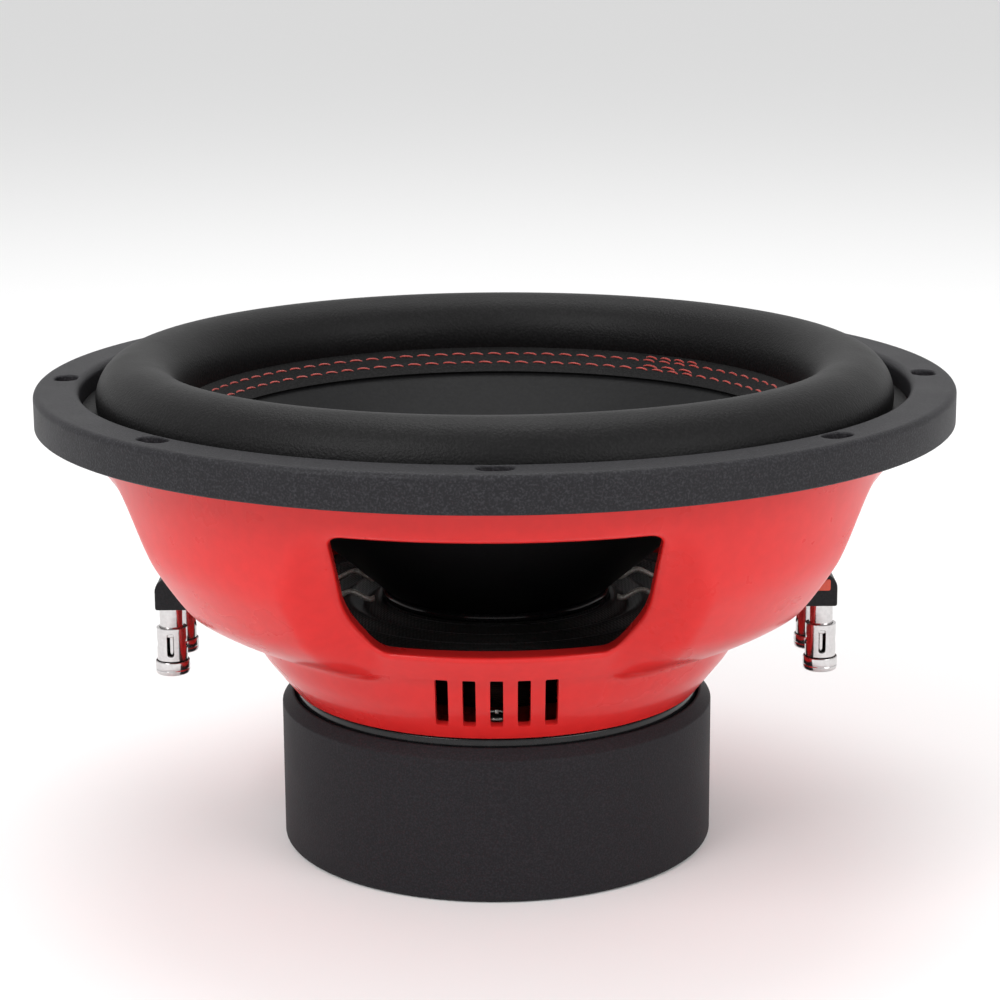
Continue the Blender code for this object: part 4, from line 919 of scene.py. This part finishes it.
class DRIVER_OT_voice_coil(bpy.types.Operator):
    """Aluminium former with its two layers of copper wire, the wire's colour darkened almost to black as
    painted shade
    """
    bl_idname = "driver.voice_coil"
    bl_label = "Voice Coil"

    def execute(self, context):
        low, high = bottom_of("voice_coil_former"), top_of("voice_coil_former")
        bore = FORMER_OUTER - 0.0008
        outline = rounded([(bore, low, 0.0002), (FORMER_OUTER, low, 0.0002), (FORMER_OUTER, high, 0.0002),
                           (bore, high, 0.0002)], 3)
        former = build("former_tube", [spun(outline, 128)], FINISHES["aluminium"])
        put(former, "cone_assembly", "aluminium", "voice_coil_former")
        windings = {"coil_inner_winding": FORMER_OUTER + 0.0003, "coil_outer_winding": OUTER_WINDING}
        for node, inner in windings.items():
            low, high = bottom_of(node), top_of(node)
            height = np.linspace(low, high, 161)
            swell = 0.00014 * np.abs(np.sin(np.linspace(0, 40 * np.pi, 161)))
            face = np.stack([inner + WINDING + swell, height], axis=1)
            outline = np.concatenate([face, [[inner, high], [inner, low]]])
            # The wire's finish is copper darkened almost to black, painted shade for the dark inside of the
            # neck.
            coil = build(f"{node}_wire", [spun(outline, 96)], FINISHES["copper"], sharp=60)
            put(coil, "cone_assembly", "copper", node)
        return {"FINISHED"}


class DRIVER_OT_spider(bpy.types.Operator):
    """Corrugated cloth spider on its support ring, which bends between the frame and the coil"""
    bl_idname = "driver.spider"
    bl_label = "Spider"

    def execute(self, context):
        collar = FORMER_OUTER + 0.0003
        start, end = collar + 0.0012, SPIDER_RADIUS - 0.0085
        radius = np.linspace(start, end, 130)
        share = (radius - start) / (end - start)
        height = LANDING + SPIDER_SHEET + SPIDER_WAVE / 2 * (1 - share)
        height = height + SPIDER_WAVE * np.sin(8 * np.pi * share)
        wave_line = np.stack([radius, height], axis=1)
        lift = height[0] + np.linspace(0.0024, 0.0006, 4)
        rise = np.stack([np.full(4, collar + SPIDER_SHEET), lift], axis=1)
        flat = LANDING + SPIDER_SHEET
        rim = np.array([[end + 0.0006, flat], [SPIDER_RADIUS, flat]])
        line = np.concatenate([rise, wave_line[1:], even(rim, 6)])
        cloth = spun(walled(line, SPIDER_SHEET), 160)
        spider = build("spider_cloth_disc", [cloth], FINISHES["spider_cloth"], sharp=60)
        radial_blend(spider, 0.0400, 0.0810)
        put(spider, "frame", "spider_cloth", "spider")
        high = LANDING - 0.0003
        low, inner = high - 0.0020, SPIDER_RADIUS - 0.0080
        outline = rounded([(inner, low, 0.0004), (SPIDER_RADIUS, low, 0.0004),
                           (SPIDER_RADIUS, high, 0.0004), (inner, high, 0.0004)], 3)
        ring = build("spider_ring", [spun(outline, 160)], FINISHES["black_plastic"])
        put(ring, "frame", "black_plastic", "spider_support_ring")
        return {"FINISHED"}


class DRIVER_OT_motor(bpy.types.Operator):
    """Yoke, two ferrite magnets, top plate and vent screen"""
    bl_idname = "driver.motor"
    bl_label = "Motor"

    def execute(self, context):
        low, plate = bottom_of("t_yoke"), top_of("top_plate")
        floor, crown = low + YOKE_PLATE, plate + POLE_RISE
        outline = rounded([(POLE_VENT, low, 0.0004), (PLATE_RADIUS, low, 0.0008),
                           (PLATE_RADIUS, floor, 0.0008),
                           (POLE_RADIUS, floor, 0.0006), (POLE_RADIUS, crown, 0.0010),
                           (POLE_VENT, crown, 0.0010)], 4)
        self.turned("yoke_turned", outline, 128, "black_steel", "t_yoke")
        bore, radius = MAGNET
        for node in ("magnet_lower", "magnet_upper"):
            low, high = bottom_of(node), top_of(node)
            outline = rounded([(bore, low, 0.0006), (radius, low, 0.0010), (radius, high, 0.0010),
                               (bore, high, 0.0006)], 4)
            self.turned(f"{node}_ring", outline, 128, "ferrite", node)
        low = bottom_of("top_plate")
        outline = rounded([(PLATE_BORE, low, 0.0004), (PLATE_RADIUS, low, 0.0008),
                           (PLATE_RADIUS, plate, 0.0008),
                           (PLATE_BORE, plate, 0.0004)], 4)
        self.turned("top_plate_turned", outline, 160, "black_steel", "top_plate")
        low, high = bottom_of("vent_screen"), top_of("vent_screen")
        radius = np.linspace(0, 0.0137, 20)
        wires = 0.00016 * np.sin(np.linspace(0, 26 * np.pi, 20))
        face = np.stack([radius, high - 0.0002 + wires], axis=1)
        outline = np.concatenate([[[0.0, low]], [[0.0137, low]], face[::-1]])
        self.turned("vent_mesh", outline, 96, "black_steel", "vent_screen")
        return {"FINISHED"}

    def turned(self, name, outline, steps, slot, node):
        """A piece of the motor turned about the driver's axis."""
        put(build(name, [spun(outline, steps)], FINISHES[slot]), "frame", slot, node)


class DRIVER_OT_boot(bpy.types.Operator):
    """Rubber boot round the magnets, with a bevelled lip and a vent in its floor"""
    bl_idname = "driver.boot"
    bl_label = "Motor Boot"

    def execute(self, context):
        sizes = context.scene.driver_sizes
        bore, floor, vent = sizes.boot_radius - 0.0043, 0.0030, 0.0160
        top = sizes.boot_height
        outline = rounded([(vent, 0.0, 0.0006), (sizes.boot_radius, 0.0, 0.0016),
                           (sizes.boot_radius, top - 0.0036, 0.0010), (bore + 0.0008, top, 0.0005),
                           (bore, top, 0.0002), (bore, floor, 0.0010), (vent, floor, 0.0006)], 6)
        boot = build("boot_sleeve", [spun(outline, 224)], FINISHES["boot_rubber"])
        put(boot, "frame", "boot_rubber", "motor_boot")
        return {"FINISHED"}


def screw_sheets(head, height, recess, shank, reach):
    """A pan head with a cross recess as a height over a disc, and the shank below it."""
    angle = np.linspace(0, 2 * np.pi, 48, endpoint=False)[None]
    radius = np.append(np.linspace(0, head * 0.75, 12), head * np.array([0.85, 0.93, 0.98, 1.0]))[:, None]
    dome = height * np.sqrt(np.clip(1 - 0.95 * (radius / head) ** 4, 0, 1))
    x, y = radius * np.cos(angle), radius * np.sin(angle)
    arm = np.minimum(np.abs(x), np.abs(y))
    width, span = head * 0.14, head * 0.58
    sink = recess * smooth_step((width - arm) / (0.4 * width) + 0.5)
    sink = sink * smooth_step((span - radius) / (0.3 * span))
    top = np.stack([x, y, dome - sink], axis=-1)
    rim = [np.stack([radius[-1] * np.cos(angle[0]), radius[-1] * np.sin(angle[0]), 0 * angle[0]], -1)]
    rim += [np.stack([r * np.cos(angle[0]), r * np.sin(angle[0]), z + 0 * angle[0]], -1)
            for r, z in ((shank, 0.0), (shank, -reach), (0.0, -reach))]
    return grid(np.concatenate([top, np.array(rim)]), closed_columns=True)


def placed(sheet, matrix, place):
    """The same sheet turned by a 3 x 3 matrix and moved to its place."""
    points, quads, corners = sheet
    return points @ np.asarray(matrix, float).T + np.asarray(place, float), quads, corners


class DRIVER_OT_screws(bpy.types.Operator):
    """Screws of the top plate and of the terminal blocks"""
    bl_idname = "driver.screws"
    bl_label = "Screws"

    def execute(self, context):
        seat = BASKET_BOTTOM + 0.0025
        pan = screw_sheets(0.0042, 0.0026, 0.0016, 0.0022, 0.0082)
        for index in range(HOLES):
            angle = 2 * math.pi * index / HOLES
            place = (SCREW_CIRCLE * math.sin(angle), -SCREW_CIRCLE * math.cos(angle), seat)
            c, s = math.cos(angle + 0.5 * index), math.sin(angle + 0.5 * index)
            sheet = placed(pan, [(c, -s, 0), (s, c, 0), (0, 0, 1)], place)
            screw = build(f"plate_screw_pan_{index + 1}", [sheet], FINISHES["zinc"])
            put(screw, "frame", "zinc", f"plate_screw_{index + 1}")
        small = screw_sheets(0.0024, 0.0018, 0.0010, 0.0013, 0.0160)
        for index in range(4):
            node = f"block_screw_{index + 1}"
            low, high = (np.array(corner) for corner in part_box(node))
            side = 1.0 if high[0] > 0 else -1.0
            head = (high[0] if side > 0 else low[0]) - side * 0.0018
            place = (head, (low[1] + high[1]) / 2, (low[2] + high[2]) / 2)
            turn = [(0, 0, side), (0, side, 0), (-1, 0, 0)]
            screw = build(f"{node}_pan", [placed(small, turn, place)], FINISHES["zinc"])
            put(screw, "frame", "zinc", node)
        return {"FINISHED"}


TERMINALS = [(f"{side_name}_{end_name}", side, end) for side_name, side in (("right", 1), ("left", -1))
             for end_name, end in (("front", -1), ("rear", 1))]


def sleeve_sheets(x, y):
    """The barrel's sleeve: four cells, slots front and back and wire holes at the sides."""
    radius, low, high = SLEEVE_RADIUS, BARREL_LOW, BARREL_TOP
    half = math.pi / 4 * radius
    middle = (low + high) / 2
    sheets = []
    wide, tall = 0.0013, 0.00425
    slot = rounded([(-wide, -tall, 0.00125), (wide, -tall, 0.00125), (wide, tall, 0.0006),
                    (-wide, tall, 0.0006)], 8)
    wire = arc((0.0, 0.0), 0.0022, 0, 360, 49)[:-1]
    for quarter in range(QUARTERS):
        shape, level = (slot, middle) if quarter % 2 == 0 else (wire, BARREL_LOW + WIRE_RISE)
        cell = box_loop(-half, half, low - level, high - level, 16, 24)
        hole = loop_by_rays(shape, np.arctan2(cell[:, 1], cell[:, 0]))
        loops = between(hole, cell, 6)
        angle = loops[..., 0] / radius + quarter * np.pi / 2
        points = [x + radius * np.sin(angle), y - radius * np.cos(angle), loops[..., 1] + level]
        sheets.append(grid(np.stack(points, -1), closed_columns=True))
    return sheets


class DRIVER_OT_terminals(bpy.types.Operator):
    """Chromed push terminals: fixed barrels, sprung plungers and their coil springs"""
    bl_idname = "driver.terminals"
    bl_label = "Terminals"

    def execute(self, context):
        button = context.scene.driver_sizes.button_radius
        chrome = FINISHES["chrome"]
        for name, side, end in TERMINALS:
            x, y = side * TERMINAL_X, end * TERMINAL_Y
            sleeve = build(f"barrel_sleeve_{name}", sleeve_sheets(x, y), chrome, closed=False, weld=2e-6)
            face_out(sleeve, lambda centres, x=x, y=y: (centres - [x, y, 0]) * [1, 1, 0])
            thicken(sleeve, 0.0010)
            put(sleeve, "frame", "chrome", f"terminal_barrel_{name}")
            top = top_of(f"terminal_barrel_{name}")
            bore, roof, foot = BARREL_NECK - 0.00045, top - 0.0016, BARREL_TOP - 0.0012
            outline = rounded([(0.0, roof, 0), (bore, roof, 0.0002), (bore, foot, 0.0002),
                               (BARREL_NECK, foot, 0.0002), (BARREL_NECK, top, 0.0004), (0.0, top, 0)], 3)
            neck = build(f"barrel_neck_{name}", [spun(outline, 48, (x, y))], chrome)
            low, high = BARREL_TOP - 0.0030, BARREL_TOP - 0.0016
            ring = rounded([(0.0032, low, 0.0003), (0.0045, low, 0.0003), (0.0045, high, 0.0003),
                            (0.0032, high, 0.0003)], 3)
            put(neck, "frame", "chrome", f"terminal_barrel_{name}")
            seat = build(f"barrel_seat_{name}", [spun(ring, 48, (x, y))], chrome)
            put(seat, "frame", "chrome", f"terminal_barrel_{name}")
            self.plunger(name, x, y, button, chrome)
            self.spring(name, x, y)
        return {"FINISHED"}

    def plunger(self, name, x, y, button, chrome):
        low, high = BUTTON_LOW, BARREL_LOW - 0.0004
        rim = 0.00565
        outline = rounded([(0.0, low, 0), (button - 0.0003, low, 0.0009), (button, low + 0.0016, 0.0003),
                           (button - 0.0002, low + 0.0020, 0.0002), (button, low + 0.0024, 0.0003),
                           (button, high, 0.0003), (rim, high, 0.0001), (rim, low + 0.0010, 0.0002),
                           (0.0, low + 0.0010, 0)], 3)
        cup = build(f"plunger_button_{name}", [spun(outline, 64, (x, y))], chrome)
        put(cup, f"plunger_{name}", "chrome", f"terminal_plunger_{name}")
        head = top_of(f"terminal_plunger_{name}")
        base = low + 0.0008
        collar, under = 0.00335, head - 0.0012
        pin = rounded([(0.0, base, 0), (PIN_RADIUS, base, 0), (PIN_RADIUS, under, 0), (collar, under, 0.0002),
                       (collar, head, 0.0002), (0.0, head, 0)], 3)
        stem = build(f"plunger_pin_{name}", [spun(pin, 40, (x, y))], chrome)
        wire = BARREL_LOW + WIRE_RISE - PUSH_TRAVEL
        drill = tube([[x - 0.008, y, wire], [x, y, wire], [x + 0.008, y, wire]], 0.0015, 24)
        carve(stem, build("drill", [drill], chrome))
        stem.data.set_sharp_from_angle(angle=math.radians(35))
        put(stem, f"plunger_{name}", "chrome", f"terminal_plunger_{name}")

    def spring(self, name, x, y):
        """A coil: x = R sin a, y = -R cos a, z rises evenly with the angle."""
        node = f"terminal_spring_{name}"
        low, high = bottom_of(node) + 0.0004, top_of(node) - 0.0004
        angle = np.linspace(0, 2 * np.pi * 6, 170)
        path = np.stack([x + 0.0029 * np.sin(angle), y - 0.0029 * np.cos(angle),
                         np.linspace(low, high, len(angle))], axis=1)
        coil = build(f"spring_coil_{name}", [tube(path, 0.00033, 8)], FINISHES["zinc"])
        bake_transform(coil, "frame", f"plunger_{name}", start=(x, y, high), end=(x, y, low))
        put(coil, "frame", "zinc", node)


class DRIVER_OT_blocks(bpy.types.Operator):
    """Moulded terminal blocks with a red insert, and the solder lugs on their tongues"""
    bl_idname = "driver.blocks"
    bl_label = "Terminal Blocks"

    def execute(self, context):
        for side_name, side in (("right", 1), ("left", -1)):
            node = f"terminal_block_{side_name}"
            face, half = TERMINAL_X + 0.0047, 0.0215
            rail = WINDOW_LOW + 0.0003
            low_wall = float(wall_radius(np.array(0.0), np.array(BLOCK_LOW))) + 0.0006
            high_wall = float(wall_radius(np.array(0.0), np.array(rail))) + 0.0006
            outline = rounded([(low_wall, BLOCK_LOW, 0.0), (face, BLOCK_LOW, 0.0008),
                               (face, BLOCK_TOP, 0.0050), (high_wall, BLOCK_TOP, 0.0004),
                               (high_wall, rail, 0.0)], 8)
            body = self.prism(outline, half, side)
            root, upper = high_wall + 0.002, BLOCK_TOP - 0.0003
            tongue = rounded([(TONGUE_REACH, rail, 0.0003), (root, rail, 0.0), (root, upper, 0.0),
                              (TONGUE_REACH, upper, 0.0006)], 3)
            plastic = FINISHES["black_plastic"]
            block = build(f"{node}_moulding", [body], plastic)
            self.cap(block)
            drills = []
            for y in (-0.0050, 0.0050):
                z = BLOCK_LOW + 0.0036
                drills.append(tube([[side * (face + 0.001), y, z], [side * (face - 0.003), y, z],
                                    [side * (face - 0.0050), y, z]], 0.0027, 32))
            carve(block, build("drill", drills, plastic))
            soften(block, 0.0010, 3)
            put(block, "frame", "black_plastic", node)
            reach = build(f"{node}_tongue", [self.prism(tongue, 0.0170, side)], plastic)
            self.cap(reach)
            soften(reach, 0.0005, 2)
            put(reach, "frame", "black_plastic", node)
            self.insert(side_name, side)
        for name, side, end in TERMINALS:
            self.lug(name, side, end)
        return {"FINISHED"}

    def prism(self, outline, half, side):
        """The outline in the (x, z) plane carried along y."""
        y = np.linspace(-half, half, 2)[:, None]
        points = np.stack([side * outline[None, :, 0] + 0 * y, y + 0 * outline[None, :, 0],
                           outline[None, :, 1] + 0 * y], axis=-1)
        return grid(points, closed_columns=True)

    def cap(self, obj):
        """Closes the two open ends of a prism with one face each, and faces it outwards."""
        shape = bmesh.new()
        shape.from_mesh(obj.data)
        bmesh.ops.holes_fill(shape, edges=[edge for edge in shape.edges if edge.is_boundary], sides=0)
        bmesh.ops.recalc_face_normals(shape, faces=shape.faces)
        if shape.calc_volume(signed=True) < 0:
            bmesh.ops.reverse_faces(shape, faces=shape.faces)
        shape.to_mesh(obj.data)
        shape.free()
        obj.data.shade_smooth()
        obj.data.set_sharp_from_angle(angle=math.radians(35))

    def insert(self, side_name, side):
        node = f"polarity_insert_{side_name}"
        low, high = (np.array(corner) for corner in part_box(node))
        centre, size = (low + high) / 2, (high - low) / 2
        front = -side
        wide, tall = size[0], size[2]
        outline = rounded([(-wide, -tall, 0.0006), (wide, -tall, 0.0006), (wide, tall, 0.0006),
                           (-wide, tall, 0.0006)], 4)
        depth = np.array([-size[1], size[1] + 0.0004])[:, None] * front
        across, up = outline[None, :, 0], outline[None, :, 1]
        points = np.stack([centre[0] + across + 0 * depth, centre[1] + depth + 0 * across,
                           centre[2] + up + 0 * depth], axis=-1)
        tile = build(f"{node}_tile", [grid(points, closed_columns=True)], FINISHES["red_plastic"])
        self.cap(tile)
        soften(tile, 0.0003, 2)
        put(tile, "frame", "red_plastic", node)

    def lug(self, name, side, end):
        node = f"solder_lug_{name}"
        low, high = (np.array(corner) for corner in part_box(node))
        y = end * TERMINAL_Y
        inner, outer = (low[0], high[0]) if side > 0 else (high[0], low[0])
        outline = rounded([(inner, y - 0.0016, 0.0010), (outer, y - 0.0025, 0.0008),
                           (outer, y + 0.0025, 0.0008), (inner, y + 0.0016, 0.0010)], 6)
        level = np.array([low[2], high[2]])[:, None]
        points = np.stack([outline[None, :, 0] + 0 * level, outline[None, :, 1] + 0 * level,
                           level + 0 * outline[None, :, 0]], axis=-1)
        plate = build(f"{node}_plate", [grid(points, closed_columns=True)], FINISHES["zinc"])
        self.cap(plate)
        drill = tube([[outer - side * 0.003, y, low[2] - 0.001], [outer - side * 0.003, y, low[2]],
                      [outer - side * 0.003, y, high[2] + 0.001]], 0.0011, 24)
        carve(plate, build("drill", [drill], FINISHES["zinc"]))
        foot = high[2] - 0.0006
        solder = arc((0.0, foot), 0.0016, 90, 0, 8) * [1.0, 0.8] + [0.0, 0.2 * foot]
        solder[0, 0] = 0.0
        drop = np.concatenate([solder, [[0.0, solder[-1, 1]]]])
        drop = spun(drop, 32, (inner + side * 0.0014, y))
        blob = build(f"{node}_solder", [drop], FINISHES["tinned_braid"])
        soften(plate, 0.00015, 2)
        put(plate, "frame", "tinned_braid", node)
        put(blob, "frame", "tinned_braid", node)


def lead_path(side, y):
    """A tinsel lead from its lug, down to the spider, over one hump and up to the cone's neck."""
    rest = LANDING + SPIDER_SHEET + 1.5 * SPIDER_WAVE + 0.0006 + 0.0010
    lug = 0.0890
    route = [(lug, BLOCK_TOP + 0.0004), (lug - 0.0048, BLOCK_TOP - 0.0020), (lug - 0.0120, rest + 0.0030),
             (lug - 0.0240, rest), (0.0580, rest), (0.0510, rest + 0.0030), (0.0450, rest + 0.0003),
             (0.0425, rest + 0.0006)]
    route = np.array(route)
    points = np.stack([side * route[:, 0], np.full(len(route), y), route[:, 1]], axis=1)
    return smooth_path(points, 180)


class DRIVER_OT_leads(bpy.types.Operator):
    """Braided tinsel leads from the lugs to the cone's neck, which bend with the cone"""
    bl_idname = "driver.leads"
    bl_label = "Tinsel Leads"

    def execute(self, context):
        radius = context.scene.driver_sizes.lead_radius
        for name, side, end in TERMINALS:
            path = lead_path(side, end * TERMINAL_Y)
            sides = 16
            run = np.concatenate([[0], np.cumsum(np.linalg.norm(np.diff(path, axis=0), axis=1))])
            points, quads, corners = tube(path, radius, sides)
            rows = len(path) + 2
            around = np.tile(np.linspace(0, 2 * np.pi, sides, endpoint=False), rows)
            along = np.repeat(np.concatenate([[0], run, [run[-1]]]), sides)
            turns = 2 * np.pi * along / 0.0042
            braid = np.maximum(np.cos(4 * around + 2 * turns), np.cos(4 * around - 2 * turns))
            centre = np.repeat(np.concatenate([path[:1], path, path[-1:]]), sides, axis=0)
            points = centre + (points - centre) * (1.0 - 0.10 + 0.10 * braid)[:, None]
            braided = (points, quads, corners)
            lead = build(f"lead_braid_{name}", [braided], FINISHES["tinned_braid"], sharp=70)
            radial_blend(lead, 0.0430, 0.0880)
            put(lead, "frame", "tinned_braid", f"tinsel_lead_{name}")
        return {"FINISHED"}


class DRIVER_OT_stage(bpy.types.Operator):
    """Pale floor, soft studio lights and the camera"""
    bl_idname = "driver.stage"
    bl_label = "Stage"

    def execute(self, context):
        scene = context.scene
        angle = np.linspace(0, 2 * np.pi, 96, endpoint=False)[None]
        radius = np.array([0.0, 0.4, 2.0, 8.0, 60.0])[:, None]
        level = -0.0002 + 0 * radius * angle
        points = np.stack([radius * np.cos(angle), radius * np.sin(angle), level], axis=-1)
        pale = finish("floor_paper", tuple(scene.driver_colours.floor), 0.85, grain=30.0)
        floor = build("studio_floor", [grid(points, closed_columns=True)], pale, closed=False)
        face_out(floor, lambda centres: np.tile([0.0, 0.0, 1.0], (len(centres), 1)))
        world = bpy.data.worlds.new("studio")
        world.use_nodes = True
        world.node_tree.nodes["Background"].inputs["Color"].default_value = (1.0, 1.0, 1.0, 1.0)
        world.node_tree.nodes["Background"].inputs["Strength"].default_value = 0.80
        scene.world = world
        self.light("key", (-1.1, -1.3, 1.5), 1.1, 22.0)
        self.light("fill", (1.3, -1.2, 1.0), 1.2, 12.0)
        self.light("top", (0.0, 0.6, 1.9), 1.4, 14.0)
        self.camera(scene)
        return {"FINISHED"}

    def light(self, name, place, size, power):
        data = bpy.data.lights.new(name, "AREA")
        data.shape = "DISK"
        data.size = size
        data.energy = power
        light = bpy.data.objects.new(name, data)
        light.location = place
        bpy.context.scene.collection.objects.link(light)
        aim(light, (0.0, 0.0, 0.09))

    def camera(self, scene):
        data = bpy.data.cameras.new("camera")
        data.sensor_width = 36.0
        data.lens = 93.28
        data.shift_x = 0.0046
        data.clip_start, data.clip_end = 0.05, 200.0
        camera = bpy.data.objects.new("camera", data)
        camera.location = (0.0, -0.8905, 0.3295)
        tilt = Matrix.Rotation(math.radians(90.0 - 13.194), 4, "X")
        camera.rotation_euler = (tilt @ Matrix.Rotation(math.radians(CAMERA_ROLL), 4, "Z")).to_euler()
        scene.collection.objects.link(camera)
        scene.camera = camera
        scene.view_settings.view_transform = "Standard"


CAMERA_ROLL = -0.369


def aim(obj, target):
    """Points an object's own -Z axis at a place."""
    away = np.array(obj.location) - np.array(target)
    obj.rotation_euler = (math.atan2(math.hypot(away[0], away[1]), away[2]), 0.0,
                          math.atan2(away[0], -away[1]))


class DRIVER_PT_panel(bpy.types.Panel):
    """Lists the driver's sizes, colours and pieces"""
    bl_idname = "DRIVER_PT_panel"
    bl_label = "Subwoofer"
    bl_space_type = "VIEW_3D"
    bl_region_type = "UI"
    bl_category = "Subwoofer"

    def draw(self, context):
        column = self.layout.column()
        for group in (context.scene.driver_sizes, context.scene.driver_colours):
            for name in group.__annotations__:
                column.prop(group, name)
        for operator in OPERATORS:
            column.operator(operator.bl_idname)


OPERATORS = (
    DRIVER_OT_basket,
    DRIVER_OT_trim_ring,
    DRIVER_OT_gasket,
    DRIVER_OT_surround,
    DRIVER_OT_stitching,
    DRIVER_OT_cone,
    DRIVER_OT_voice_coil,
    DRIVER_OT_spider,
    DRIVER_OT_motor,
    DRIVER_OT_boot,
    DRIVER_OT_screws,
    DRIVER_OT_terminals,
    DRIVER_OT_blocks,
    DRIVER_OT_leads,
    DRIVER_OT_stage,
)
CLASSES = (DriverSizes, DriverColours, *OPERATORS, DRIVER_PT_panel)


def register():
    for cls in CLASSES:
        bpy.utils.register_class(cls)
    bpy.types.Scene.driver_sizes = bpy.props.PointerProperty(type=DriverSizes)
    bpy.types.Scene.driver_colours = bpy.props.PointerProperty(type=DriverColours)


def unregister():
    del bpy.types.Scene.driver_colours
    del bpy.types.Scene.driver_sizes
    for cls in reversed(CLASSES):
        bpy.utils.unregister_class(cls)


def main():
    register()
    FINISHES.update(make_finishes(bpy.context.scene.driver_colours))
    for operator in OPERATORS:
        group, name = operator.bl_idname.split(".")
        getattr(getattr(bpy.ops, group), name)()


if __name__ == "__main__":
    main()
